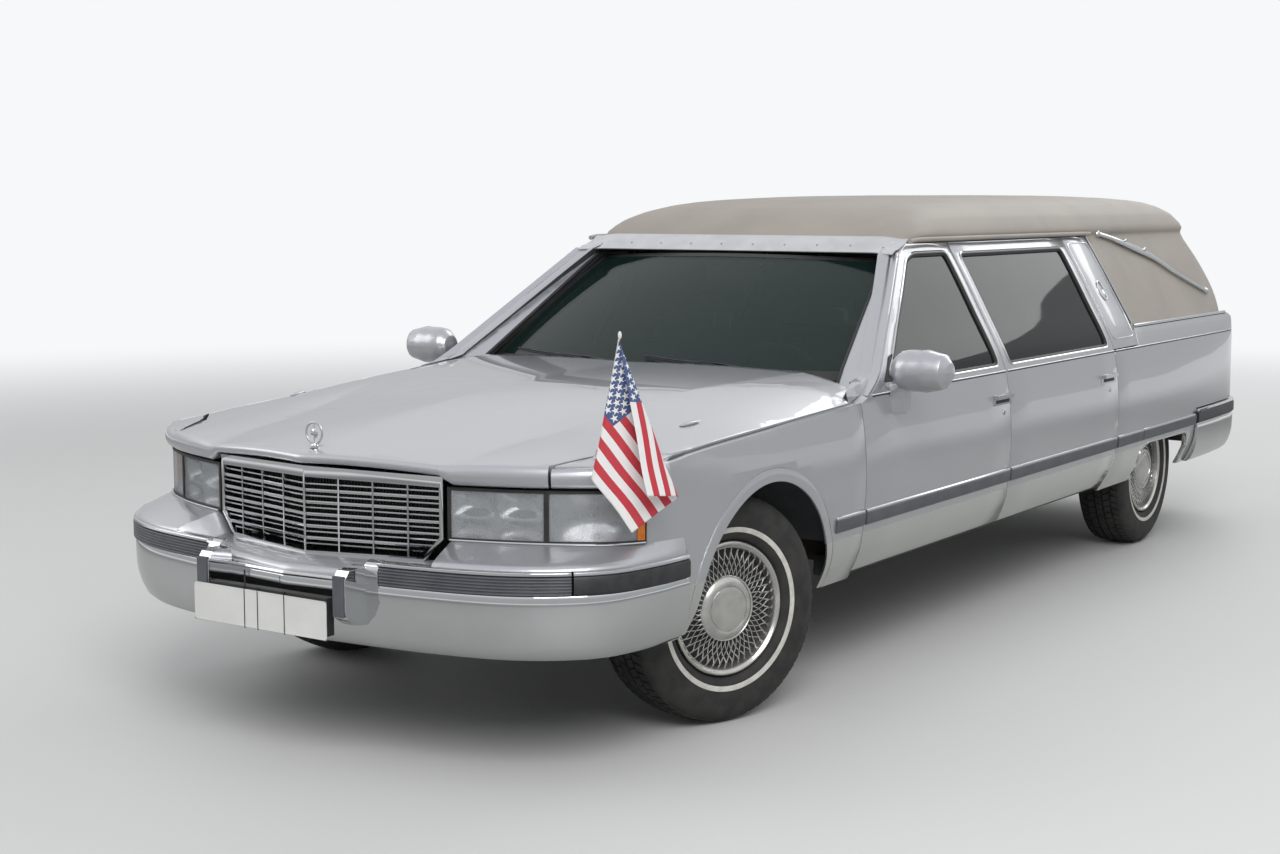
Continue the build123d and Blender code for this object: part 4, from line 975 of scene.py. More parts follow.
def makeHandles():
    for side, turn in sides:
        for name, y, z in (("front", -0.158, 0.848), ("rear", 0.97, 0.841)):
            places, outs, _ = onSkin([y - 0.01, y, y + 0.01], [z] * 3)
            centre, out, up, along = Vector(places[1]), Vector(outs[1]), Vector((0, 0, 1)), Vector((0, 1, 0))

            def plate(a0, a1, u0, u1, o0, o1, number):
                verts = [centre + along * a + up * u + out * o for a in (a0, a1) for u in (u0, u1) for o in (o0, o1)]
                return turn((verts, brickFaces, number))

            # base, a dark plate that paints the shade in the hollow behind the grip, and the grip
            pieces = [plate(-0.085, 0.085, -0.02, 0.02, -0.004, 0.003, 0),
                      plate(-0.062, 0.062, -0.013, 0.006, 0.0028, 0.0036, 1),
                      plate(-0.078, 0.07, 0.002, 0.018, 0.003, 0.02, 0)]
            lock = lathe([(0.0, 0.0), (0.0, 0.011), (0.006, 0.011), (0.008, 0.009), (0.008, 0.0)], 20, 0,
                         (centre.x - 0.001, y + 0.01, z - 0.05))
            pieces.append(turn(lock + (0,)))
            solid(f"doorHandle_{name}_{side}", pieces, f"{name}_door_{side}_body", ("chrome", "rubber"), "chrome",
                  bevel=0.0025)
    print("handles done")


makeSideTrim()
makeHandles()

# the hub's height, the kingpins' half distance, the angle at rest, the tread's and the cover's pattern, the white band
wheelSizes = {"hub": 0.357, "kingpin": 0.69, "turn": radians(-19.4), "treadPitches": 66, "treadSlant": 0.32,
              "spokes": 44, "spokeCross": radians(12.5), "stripe": (0.237, 0.253), "steps": 96}
# half track, place along the car, and whether it steers
wheelPlaces = {"front": (0.7835, -1.9, True), "rear": (0.771, 1.783, False)}
# half a tyre's section from the bead to the tread: across, radius
tyreSide = [(0.083, 0.2095), (0.0885, 0.2115), (0.0965, 0.2155), (0.1035, 0.2235), (0.1075, 0.2315), (0.1086, 0.2368),
            (0.1092, 0.2371), (0.1114, 0.2445), (0.1119, 0.2527), (0.1116, 0.253), (0.1124, 0.262), (0.1125, 0.278),
            (0.1118, 0.293), (0.1104, 0.3), (0.1106, 0.302), (0.108, 0.314), (0.1035, 0.327), (0.0985, 0.3365),
            (0.0925, 0.3425), (0.09, 0.3436), (0.088, 0.3465)]


def copied(name, verts, faces, places, turn, material):
    # a small mesh set on each place by Geometry Nodes, each turned about X by one more turn; plain mesh data comes back
    holders = []
    for title, points, polygons in ((name + "Unit", verts, faces), (name, places, [])):
        mesh = bpy.data.meshes.new(title)
        mesh.from_pydata([tuple(v) for v in points], [], polygons)
        holders.append(bpy.data.objects.new(title, mesh))
        bpy.context.scene.collection.objects.link(holders[-1])
    unit, holder = holders
    tree = bpy.data.node_groups.new(name, "GeometryNodeTree")
    tree.interface.new_socket("Geometry", in_out="INPUT", socket_type="NodeSocketGeometry")
    sockets = {title: tree.interface.new_socket(title, in_out="INPUT", socket_type="NodeSocket" + kind).identifier
               for title, kind in (("Unit", "Object"), ("Turn", "Float"), ("Finish", "Material"))}
    tree.interface.new_socket("Geometry", in_out="OUTPUT", socket_type="NodeSocketGeometry")
    graph = Graph(tree)
    given = graph.add("NodeGroupInput")
    picked = graph.add("GeometryNodeObjectInfo", None, {"Object": given.out("Unit")}).out("Geometry")
    spots = graph.add("GeometryNodeMeshToPoints", None, {"Mesh": given.out("Geometry")})
    angles = graph.add("ShaderNodeCombineXYZ", None, {"X": graph.add("GeometryNodeInputIndex") * given.out("Turn")})
    rings = graph.add("GeometryNodeInstanceOnPoints", None, {"Points": spots, "Instance": picked, "Rotation": angles})
    real = graph.add("GeometryNodeRealizeInstances", None, {"Geometry": rings})
    done = graph.add("GeometryNodeSetMaterial", None, {"Geometry": real, "Material": given.out("Finish")})
    graph.add("NodeGroupOutput", None, {"Geometry": done})
    modifier = holder.modifiers.new(name, "NODES")
    modifier.node_group = tree
    for title, value in (("Unit", unit), ("Turn", turn), ("Finish", material)):
        modifier[sockets[title]] = value
    shown = holder.evaluated_get(bpy.context.evaluated_depsgraph_get())
    plainMesh = bpy.data.meshes.new_from_object(shown)
    result = [v.co[:] for v in plainMesh.vertices], [tuple(p.vertices) for p in plainMesh.polygons]
    for gone in holders:
        bpy.data.objects.remove(gone)
    bpy.data.meshes.remove(plainMesh)
    return result


def ringOf(name, unit, count, finishName):
    # copies of a unit, evenly round the X axis
    return copied(name, *unit, [(0, 0, 0)] * count, 2 * pi / count, materials[finishName])


def tube(path, radii, around=6, squash=1.0):
    # a rod along points with a radius at each, flattened by squash along X
    verts = []
    for i, here in enumerate(path):
        run = (path[min(i + 1, len(path) - 1)] - path[max(i - 1, 0)]).normalized()
        side = run.cross(Vector((1, 0, 0))).normalized()
        lift = side.cross(run)
        for k in range(around):
            a = 2 * pi * k / around
            verts.append(here + side * cos(a) * radii[i] + lift * sin(a) * radii[i] * squash)
    return verts, ringFaces(len(path), around)


def treadUnit():
    # one pitch of the tread: five blocks with slanted ends and arched tops
    verts, faces = [], []
    pitch = 2 * pi / wheelSizes["treadPitches"]
    rows = [(-0.0905, -0.059, 0.24, 1), (-0.052, -0.0215, 0.12, -1), (-0.0145, 0.0145, 0.1, 1),
            (0.0215, 0.052, 0.12, -1), (0.059, 0.0905, 0.24, 1)]
    for k, (x0, x1, gap, lean) in enumerate(rows):
        base = len(verts)
        shift = 0.37 * k * pitch
        for x in (x0, x1):
            crown = 0.3569 - 0.0026 * (x / 0.06) ** 2 - 0.0042 * max(abs(x) - 0.075, 0) / 0.0155
            middle = shift + lean * wheelSizes["treadSlant"] * pitch * (x - (x0 + x1) / 2) / 0.03
            for part in range(4):
                a = middle + pitch * (1 - gap) * (part / 3 - 0.5)
                for radius in (0.3425, crown):
                    verts.append((x, radius * cos(a), radius * sin(a)))
        for part in range(3):
            a, b = base + part * 2, base + part * 2 + 2
            faces += [(a + 1, b + 1, b + 9, a + 9), (b, b + 1, a + 1, a), (a + 8, b + 8, b + 9, a + 9),
                      (a, b, b + 8, a + 8)]
        faces += [(base, base + 8, base + 9, base + 1), (base + 6, base + 7, base + 15, base + 14)]
    return verts, faces


def spokeUnit():
    # one outer stem that splits into two crossing wires
    verts, faces = [], []
    for lean in (1, -1):
        path, radii = [], []
        for i in range(13):
            t = i / 12
            radius = 0.1885 - 0.0875 * t
            soft = max((t - 0.16) / 0.84, 0)
            soft = soft * soft * (3 - 2 * soft) * 0.55 + soft * 0.45
            a = lean * wheelSizes["spokeCross"] * soft + radians(1.6) * sin(pi * min(t * 2.2, 1))
            out = 0.078 + 0.0125 * t ** 0.7 + 0.0012 * lean * sin(pi * soft)
            path.append(Vector((out, radius * cos(a), radius * sin(a))))
            radii.append(0.0029 - 0.0012 * min(t * 1.6, 1))
        v, f = tube(path, radii, 6, 0.8)
        faces += [tuple(n + len(verts) for n in g) for g in f]
        verts += v
    return verts, faces


def makeWheels():
    steps = wheelSizes["steps"]
    low, high = wheelSizes["stripe"]
    outer = tyreSide + [(0.088, 0.3468)]
    profile = [(-x, r) for x, r in outer] + [(x, r) for x, r in outer[::-1]]
    profile += [(0.0815, 0.1985), (0.0815, 0.1935), (-0.0815, 0.1935), (-0.0815, 0.1985)]
    carcass = lathe(profile + profile[:1], steps)
    rubber, band = [], []
    for f in carcass[1]:
        x = sum(carcass[0][i][0] for i in f) / len(f)
        r = sum(hypot(carcass[0][i][1], carcass[0][i][2]) for i in f) / len(f)
        (band if x > 0 and low < r < high else rubber).append(f)
    tread = ringOf("treadPitch", treadUnit(), wheelSizes["treadPitches"], "tyreRubber")
    spokes = ringOf("coverSpoke", spokeUnit(), wheelSizes["spokes"], "coverSilver")
    steelRing = [(-0.088, 0.1925), (-0.088, 0.2075), (-0.093, 0.2075), (-0.0945, 0.204), (-0.0925, 0.188),
                 (-0.06, 0.183), (0.044, 0.182), (0.02, 0.12), (0.02, 0.066), (0.034, 0.066), (0.034, 0.112),
                 (0.052, 0.179), (0.074, 0.183), (0.0925, 0.188), (0.0945, 0.204), (0.093, 0.2075), (0.088, 0.2075),
                 (0.088, 0.1925)]
    rimEdge = [(0.086, 0.203), (0.094, 0.2075), (0.098, 0.2068), (0.1005, 0.2035), (0.1008, 0.1995), (0.0985, 0.1962),
               (0.0955, 0.1945), (0.0935, 0.1915), (0.088, 0.1895), (0.078, 0.1888), (0.07, 0.186), (0.072, 0.182),
               (0.082, 0.186)]
    dish = [(0.07, 0.189), (0.062, 0.18), (0.058, 0.12), (0.07, 0.1), (0.064, 0.1), (0.052, 0.12), (0.055, 0.182)]
    cap = [(0.06, 0.0), (0.06, 0.104), (0.083, 0.1045), (0.0885, 0.103), (0.0915, 0.1002), (0.0915, 0.0975),
           (0.0905, 0.0962), (0.0925, 0.0935), (0.097, 0.087), (0.0995, 0.08), (0.0998, 0.075), (0.0985, 0.0712),
           (0.0962, 0.0702), (0.0958, 0.0688), (0.0975, 0.0672), (0.0982, 0.064), (0.0995, 0.04), (0.1, 0.0)]
    for end, (halfTrack, y, steered) in wheelPlaces.items():
        disc = [(-0.058, 0.05), (-0.058, 0.138), (-0.036, 0.138), (-0.036, 0.05)] if steered else \
            [(-0.06, 0.05), (-0.056, 0.143), (-0.03, 0.146), (-0.02, 0.14), (0.018, 0.138), (0.018, 0.05)]
        hubPart = [(-0.04, 0.03), (-0.04, 0.0655), (0.026, 0.0655), (0.026, 0.03)]
        for side, sideName in ((1, "left"), (-1, "right")):
            body = f"{end}_{sideName}_wheel_body"

            def put(verts):
                placed = []
                for x, vy, vz in verts:
                    px, py = side * (x + halfTrack), vy
                    if steered:
                        a = wheelSizes["turn"]
                        dx = px - side * wheelSizes["kingpin"]
                        px, py = side * wheelSizes["kingpin"] + dx * cos(a) - py * sin(a), dx * sin(a) + py * cos(a)
                    placed.append((px, y + py, vz + wheelSizes["hub"]))
                return placed

            parts = [(put(carcass[0]), rubber, 0), (put(carcass[0]), band, 1), (put(tread[0]), tread[1], 0)]
            tyre = solid(f"tyre_{end}_{sideName}", parts, body, ("tyreRubber", "whiteBand"), "tyre", angle=28)
            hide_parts(f"{end}_tyre_{sideName}")
            parts = [(put(spokes[0]), spokes[1], 0)]
            for ring, number in ((rimEdge, 0), (dish, 1), (cap, 0), (steelRing, 2), (disc, 3), (hubPart, 3)):
                made = lathe(ring + ring[:1], steps if number < 3 else 48)
                parts.append((put(made[0]), made[1], number))
            wheel = solid(f"wheel_{end}_{sideName}", parts, body, ("coverSilver", "trimBlack", "steel", "castIron"),
                          "chrome", angle=30)
            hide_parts(f"{end}_wheel_{sideName}")
    print("wheels and tyres done")


makeWheels()

# the cloth's cut, its pole, its grid, and how it swings from the pole's top corner
flagSizes = {"hoist": 0.29, "fly": 0.435, "poleTop": (0.905, -2.6, 1.216), "poleFoot": (0.797, -2.545, 0.888),
             "columns": 90, "rows": 60, "folds": 1.5, "cloth": 0.0006, "steps": 900, "rounds": 40,
             "widest": radians(21), "sway": 0.34}
flagPattern = {"stripes": 13, "cantonWide": 0.4, "cantonTall": 7 / 13, "columns": 6, "rows": 5, "star": 0.42,
               "waist": 0.382, "starsFrom": (0.034, 0.05), "starsTo": (0.366, 0.49)}


def starsAndBars(graph, place):
    # the cut's own coordinates: u along the fly, v down the hoist
    flat = graph.add("ShaderNodeUVMap", {"uv_map": "cut"})
    split = graph.add("ShaderNodeSeparateXYZ", None, {"Vector": flat})
    u, v = split.out("X"), split.out("Y")
    wide, tall, outer = flagPattern["cantonWide"], flagPattern["cantonTall"], flagPattern["star"]
    odd = graph.add("ShaderNodeMath", {"operation": "PINGPONG"}, {0: v * flagPattern["stripes"] - 0.5, 1: 1.0}) > 0.5
    field = (u < wide) * (v < tall)
    inner = outer * flagPattern["waist"]
    edge = Vector((outer - inner * cos(pi / 5), -inner * sin(pi / 5)))
    normal = Vector((-edge.y, edge.x)).normalized()
    if normal.x < 0:
        normal = -normal
    (u0, v0), (u1, v1) = flagPattern["starsFrom"], flagPattern["starsTo"]
    shown = None
    for offset in (0.0, 0.5):
        x = graph.add("ShaderNodeMath", {"operation": "FRACT"}, {0: u * (flagPattern["columns"] / wide) + offset}) - 0.5
        y = graph.add("ShaderNodeMath", {"operation": "FRACT"}, {0: v * (flagPattern["rows"] / tall) + offset}) - 0.5
        y = y * 1.06
        angle = graph.add("ShaderNodeMath", {"operation": "ARCTAN2"}, {0: x, 1: y * -1})
        folded = graph.add("ShaderNodeMath", {"operation": "PINGPONG"}, {0: angle, 1: pi / 5})
        reach = graph.add("ShaderNodeMath", {"operation": "SQRT"}, {0: x * x + y * y})
        across = reach * graph.add("ShaderNodeMath", {"operation": "COSINE"}, {0: folded})
        along = reach * graph.add("ShaderNodeMath", {"operation": "SINE"}, {0: folded})
        star = (across * normal.x + along * abs(normal.y)) < outer * normal.x
        if offset:
            star = star * (u > u0) * (u < u1) * (v > v0) * (v < v1)
        shown = star if shown is None else shown + star
    threads = graph.stretch(flat, (220, 160, 1))
    weave = graph.add("ShaderNodeTexWave", {"wave_type": "BANDS"}, {"Vector": threads, "Scale": 1.0})
    cloud = graph.noise(place, 30, 3)
    stripes = graph.blend(odd, colour(0.78, 0.77, 0.76), colour(0.50, 0.012, 0.03))
    canton = graph.blend(shown > 0.5, colour(0.035, 0.07, 0.20), colour(0.78, 0.77, 0.76))
    shade = graph.blend(field, stripes, canton)
    shade = graph.blend(cloud * 0.12, shade, colour(0.3, 0.28, 0.28))
    return {"Base Color": shade, "Roughness": cloud * 0.1 + 0.55, "Normal": graph.bump(weave, 0.15, 0.0003)}


def makeFlag():
    # every line from the pole's top corner keeps its length, and the lines swing to and fro as they go round
    top, foot = Vector(flagSizes["poleTop"]), Vector(flagSizes["poleFoot"])
    down = (foot - top).normalized()
    hoist, fly = flagSizes["hoist"], flagSizes["fly"]
    lean = acos(max(min(-down.z, 1), -1))
    outAway = Vector((-down.x, -down.y, 0)).normalized()
    depthWay = Vector((0, 0, 1)).cross(outAway)
    # swing: the angle from straight down, towards the hem positive; sway: the angle across it
    steps, widest, total, amplitude = flagSizes["steps"], flagSizes["widest"], pi / 2, flagSizes["sway"]
    for _ in range(flagSizes["rounds"]):
        path = []
        for i in range(steps + 1):
            t = i / steps
            swing = -lean + (widest + lean) * t
            sway = amplitude * sin(pi * flagSizes["folds"] * 2 * t) * (0.55 + 0.45 * t)
            path.append(Vector((sin(swing) * cos(sway), sin(sway), -cos(swing) * cos(sway))))
        length = sum(path[i].angle(path[i + 1]) for i in range(steps))
        amplitude *= 1 + (total - length) / total * 0.6
    reach = [0.0]
    for i in range(steps):
        reach.append(reach[-1] + path[i].angle(path[i + 1]) * total / length)
    table = np.array([p[:] for p in path])
    verts, cuts = [], []
    cols, rows = flagSizes["columns"], flagSizes["rows"]
    for j in range(rows + 1):
        for i in range(cols + 1):
            u, v = fly * i / cols, hoist * j / rows
            away = hypot(u, v)
            around = pi / 2 - atan2(v, u) if away > 0 else 0.0
            here = np.array([np.interp(around, reach, table[:, k]) for k in range(3)])
            ripple = 0.006 * sin(u * 31 + v * 12) * min(u / 0.1, 1) * away / 0.45
            verts.append(top + (outAway * here[0] + depthWay * (here[1] + ripple) + Vector((0, 0, here[2]))) * away)
            cuts.append((i / cols, j / rows))
    faces = [(j * (cols + 1) + i, (j + 1) * (cols + 1) + i, (j + 1) * (cols + 1) + i + 1, j * (cols + 1) + i + 1)
             for j in range(rows) for i in range(cols)]
    mesh = bpy.data.meshes.new("handFlag")
    mesh.from_pydata([tuple(v) for v in verts], [], faces)
    layer = mesh.uv_layers.new(name="cut")
    for loop in mesh.loops:
        layer.data[loop.index].uv = cuts[loop.vertex_index]
    mesh.shade_smooth()
    cloth = meshObject("handFlag", mesh, "body", ("flagCloth",))
    thick = cloth.modifiers.new("clothThickness", "SOLIDIFY")
    thick.thickness = flagSizes["cloth"]
    thick.offset = 0
    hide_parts("flag")
    # pole, its square foot and the small ball on top
    pole = tube([foot - Vector((0, 0, 0.004)), foot + (top - foot) * 0.5, top - down * 0.012], [0.0024] * 3, 12)
    ball = [(0.011 * cos(a), max(0.0055 * sin(a), 0.0001)) for a in np.linspace(0, pi, 9)]
    tip = lathe(ball, 14, 2, tuple(top - down * 0.014))
    footPlate = []
    for height, half in ((0.0, 0.02), (0.003, 0.02), (0.005, 0.016), (0.012, 0.0085), (0.026, 0.006)):
        for k in range(4):
            a = pi / 2 * (k + 1)
            footPlate.append((foot.x + half * 1.3 * cos(a), foot.y + half * 1.3 * sin(a), foot.z - 0.012 + height))
    made = solid("flagPole", [pole, tip, (footPlate, ringFaces(5, 4), 1)], "body", ("plateWhite", "chrome"), "trim",
                 angle=40)
    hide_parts("flag")
    print("flag done")


materials["flagCloth"] = finish("flagCloth", starsAndBars)
makeFlag()

# heights of the pane's foot and top, its thickness and arch, and the black border's width and faces
screenSizes = {"low": 0.984, "high": 1.39, "columns": 40, "rows": 14, "border": 0.034, "thick": 0.006, "arch": 0.012,
               "borderLift": (0.0012, -0.0075)}


def screenPlace(s, t, out=0.0):
    # s across from -1 to 1, t from the foot to the top
    half = 0.78 + (0.632 - 0.78) * t
    a = abs(s)
    foot = -1.19 + 0.17 * a ** 2.2
    head = -0.53 + 0.078 * a ** 2.3
    x, y, z = s * half, foot + (head - foot) * t, screenSizes["low"] + (screenSizes["high"] - screenSizes["low"]) * t
    z -= 0.014 * a ** 2 * t
    bulge = screenSizes["arch"] * 4 * t * (1 - t) + out
    normal = Vector((0.25 * s, -0.52, 0.82)).normalized()
    return Vector((x, y, z)) + normal * bulge


def screenSheet(s0, s1, t0, t1, columns, rows, out, narrow=False):
    # a grid on the screen; a narrow one is as wide as the border is beside the pillar
    grid = []
    for j in range(rows + 1):
        t = t0 + (t1 - t0) * j / rows
        wide = -s0 * screenSizes["border"] * (0.5 + 0.3 * (1 - t)) if narrow else s1 - s0
        grid.append([screenPlace(s0 + wide * i / columns, t, out) for i in range(columns + 1)])
    return grid


def makeScreen():
    cols, rows, border = screenSizes["columns"], screenSizes["rows"], screenSizes["border"]
    pane = slab(*(screenSheet(-1, 1, 0, 1, cols, rows, out) for out in (0.0, -screenSizes["thick"])))
    made = solid("screenPane", [pane], "body", ("screenGlass",), "glass", angle=60)
    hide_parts("windshield")
    # the black border over the pane's edge, then the seal beside the pillars
    pieces = []
    for patch in ((-1, 1, -0.02, border * 1.4, cols, 2), (-1, 1, 1 - border, 1.0, cols, 2)):
        pieces.append(slab(*(screenSheet(*patch, out) for out in screenSizes["borderLift"])) + (0,))
    for s in (-1, 1):
        pieces.append(slab(*(screenSheet(s, s, 0, 1, 2, rows, out, True) for out in screenSizes["borderLift"])) + (0,))
    path = [screenPlace(1.0, j / rows) for j in range(rows + 1)]
    outs = [Vector((0.35, -0.5, 0.79)).normalized()] * len(path)
    ups = [Vector((0.9, 0.1, -0.35)).normalized()] * len(path)
    seal = [(-0.01, -0.008), (0.002, -0.008), (0.0035, -0.003), (0.0035, 0.003), (0.002, 0.008), (-0.01, 0.008)]
    sideSeal = sweep(path, outs, ups, seal)
    pieces += [sideSeal, flip(sideSeal)]
    solid("screenBorder", pieces, "body", ("rubber", "chrome"), "trim", angle=40)
    print("windscreen done")


makeScreen()

# the header's screws, the roof's welt, the vinyl's moulding, the opera panel's oval and the landau bar's half heights
roofTrim = {"screwRadius": 0.0042, "welt": 0.009, "vinylLow": 1.04, "vinylRun": (1.425, 2.755),
            "oval": (0.031, 0.045), "ovalPlace": (1.24, 1.2), "barHeight": (0.013, 0.0225)}


def lineOn(points, profile, number):
    # an open strip along smoothed (y, z) points on the left skin
    line = rounded(points)
    places, outs, ups = onSkin(line[:, 0], line[:, 1])
    return sweep(places, outs, ups, profile) + (number,)


# along the car, the band's height in the middle and at its ends
headerRun = [-0.56, -0.54, -0.5, -0.48, -0.46, -0.44, -0.425]
headerMiddle = [1.386, 1.39, 1.404, 1.419, 1.434, 1.444, 1.4565]
headerEnd = [1.393, 1.406, 1.411, 1.419, 1.426, 1.434, 1.448]
# height, half width and length along the car of the screen pillar's edge at the glass and at the door
pillarGlass = [(0.948, 0.796, -1.15), (1.002, 0.772, -1.072), (1.404, 0.64, -0.47)]
pillarDoor = [(0.948, 0.959, -1.236), (1.002, 0.939, -1.114), (1.404, 0.722, -0.548)]


def headerSheet(lift, cols=40, rows=5):
    # the band over the screen, whose ends come down towards the pillars
    grid = []
    for t in (j / rows for j in range(rows + 1)):
        row = []
        for i in range(cols + 1):
            x = 0.705 * (-1 + 2 * i / cols)
            end = min(max((abs(x) - 0.615) / 0.06, 0), 1)
            y = -0.514 - 0.043 * end + (0.089 + 0.043 * end) * t
            z = np.interp(y, headerRun, headerMiddle) * (1 - end) + np.interp(y, headerRun, headerEnd) * end
            row.append(Vector((x, y, float(z))) + Vector((0, -0.45, 0.9)) * (lift + 0.003 * sin(pi * t)))
        grid.append(row)
    return grid


def makeHeader():
    grids = [headerSheet(0.004), headerSheet(0.0005)]
    spots = grids[0][2][2:40:4]
    r = roofTrim["screwRadius"]
    head, faces = lathe([(-0.001, 0.0001), (-0.001, r), (0.0008, r), (0.0016, r * 0.7), (0.0019, 0.0001)], 12, 2)
    tilt = Matrix.Rotation(radians(26), 3, "X")
    head = [tilt @ Vector(v) for v in head]
    screws = copied("headerScrew", head, faces, spots, 0.0, materials["chrome"])
    solid("headerTrim", [slab(*grids), screws + (1,)], "body", ("trimSilver", "steel"), "paint", angle=40)
    # the outer half of each screen pillar's front face is painted
    glassLine, doorLine = np.array(pillarGlass), np.array(pillarDoor)
    sheets, path, outs, ups = [], [], [], []
    for lift in (0.0022, -0.004):
        grid = []
        for z in np.linspace(0.95, 1.403, 14):
            g = Vector([np.interp(z, glassLine[:, 0], glassLine[:, k]) for k in (1, 2)] + [z])
            d = Vector([np.interp(z, doorLine[:, 0], doorLine[:, k]) for k in (1, 2)] + [z])
            up = Vector((-0.2, 0.82, 0.6))
            normal = (d - g).cross(up).normalized()
            if normal.z < 0:
                normal = -normal
            near = 0.1 + 0.52 * (1.403 - z) / 0.431
            if lift > 0:
                path.append(g)
                outs.append(normal)
                ups.append((g - d).normalized())
            grid.append([g + (d - g) * t + normal * lift for t in (near, (near + 1) / 2, 1.0)])
        sheets.append(grid)
    face = slab(*sheets)
    seal = [(-0.004, -0.004), (0.003, -0.004), (0.005, 0.0), (0.003, 0.008), (-0.004, 0.01)]
    rim = sweep(path, outs, ups, seal) + (1,)
    solid("pillarFaces", [face, flip(face), rim, flip(rim)], "body", ("paint", "rubber"), "paint", angle=50)
    print("header trim done")


def makeRoofTrim():
    path = [Vector(p) for p in ((0.722, -0.448, 1.442), (0.7245, -0.4, 1.4475), (0.7235, -0.3, 1.4485),
                                (0.7225, 0.5, 1.4485), (0.7215, 1.3, 1.4485), (0.722, 1.372, 1.446))]
    r = roofTrim["welt"]
    radii = [r * 0.5] + [r] * len(path) + [r * 0.4]
    welt = tube([path[0]] + path + [path[-1] + Vector((0, 0.004, -0.002))], radii, 14)
    # the gap profile is a flat black band that paints the shade in the gap along the vinyl's front edge
    gap = [(-0.012, -0.004), (0.0012, -0.004), (0.0012, 0.004), (-0.012, 0.004)]
    lip = [(-0.004, 0.0), (0.004, 0.001), (0.005, 0.004), (0.003, 0.008), (-0.004, 0.009)]
    edge = [(1.372, 1.437), (1.385, 1.3), (1.402, 1.15), (1.412, 1.05)]
    pieces = [welt, lineOn(edge, [(a, b + 0.006) for a, b in gap], 1), lineOn(edge, lip, 2)]
    solid("roofWelt", pieces + [flip(p) for p in pieces], "body", ("vinyl", "rubber", "paint"), "vinyl", angle=50)
    low = roofTrim["vinylLow"]
    bright = [(-0.006, -0.006), (0.003, -0.006), (0.0055, -0.002), (0.0055, 0.002), (0.003, 0.006), (-0.006, 0.006)]
    under = [(-0.006, -0.01), (0.0015, -0.01), (0.0015, -0.006), (-0.006, -0.006)]
    moulding = [stripOn(*roofTrim["vinylRun"], low, profile, number) for number, profile in enumerate((bright, under))]
    solid("vinylMoulding", moulding + [flip(p) for p in moulding], "body", ("chrome", "rubber"), "chrome", angle=50)
    # opera panels: a raised bright edge and a bare oval
    outline = [(1.112, 1.0), (1.104, 1.405), (1.342, 1.405), (1.372, 1.09), (1.368, 1.0)]
    bead = [(-0.003, -0.006), (0.0015, -0.006), (0.003, -0.002), (0.002, 0.0), (-0.003, 0.0)]
    panels = [loopOn(outline, bead, 0, corner=0.03)]
    y, z = roofTrim["ovalPlace"]
    places, outs, ups = onSkin([y - 0.008, y, y + 0.008], [z] * 3)
    centre, out, up, along = Vector(places[1]), Vector(outs[1]), Vector(ups[1]), Vector((0, 1, 0))
    if up.z < 0:
        up = -up
    wide, tall = roofTrim["oval"]
    rim = []
    for a in np.linspace(0, 2 * pi, 40, endpoint=False):
        run = along * cos(a) * wide + up * sin(a) * tall
        rim.append((centre + run, out, (along * cos(a) + up * sin(a)).normalized()))
    ring = [(0.0, -0.004), (0.004, -0.003), (0.005, 0.0), (0.004, 0.003), (0.0, 0.004)]
    panels.append(sweep(*zip(*rim), ring, closed=True) + (1,))
    solid("operaTrim", panels + [flip(p) for p in panels], "body", ("chrome", "chrome"), "chrome", angle=50)
    print("roof trim done")


def aimed(profile, steps, place, direction):
    # a turned piece that stands on a place and looks along a direction
    verts, faces = lathe(profile, steps, 2)
    turn = Vector((0, 0, 1)).rotation_difference(direction).to_matrix()
    return [place + turn @ Vector(v) for v in verts], faces


def makeLandau():
    line = rounded([(1.51, 1.441), (1.65, 1.418), (1.8, 1.387), (2.06, 1.325), (2.3, 1.236), (2.6, 1.145)], 10)
    places, outs, ups = onSkin(line[:, 0], line[:, 1], 0.0)
    narrow, wide = roofTrim["barHeight"]
    verts, around = [], 14
    for i, (p, o, u) in enumerate(zip(places, outs, ups)):
        t = i / (len(places) - 1)
        half = narrow + (wide - narrow) * max(0, 1 - abs(t - 0.5) / 0.3) ** 0.8 * (abs(t - 0.5) < 0.3)
        u = Vector(u) if u[2] > 0 else -Vector(u)
        for k in range(around):
            a = 2 * pi * k / around
            lift = 0.0115 + 0.0055 * cos(a) + 0.002 * sin(pi * t)
            verts.append(Vector(p) + Vector(o) * lift + u * half * sin(a))
    pieces = [(verts, ringFaces(len(places), around))]
    middle = len(places) // 2
    for index, size in ((0, 0.0175), (len(places) - 1, 0.0175), (middle + 2, 0.011), (middle - 6, 0.009)):
        p, o = Vector(places[index]), Vector(outs[index])
        if size < 0.015:
            p = p + Vector((0, 0.004, 0.014))
        dome = [(-0.004, size * 0.98), (0.008, size), (0.015, size * 0.86), (0.0205, size * 0.5), (0.0222, 0.0001)]
        pieces.append(aimed(dome, 24, p, o))
    made = solid("landauBars", pieces + [flip(p) for p in pieces], "body", ("chrome",), "chrome", angle=50)
    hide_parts("landau_bars")
    print("landau bars done")


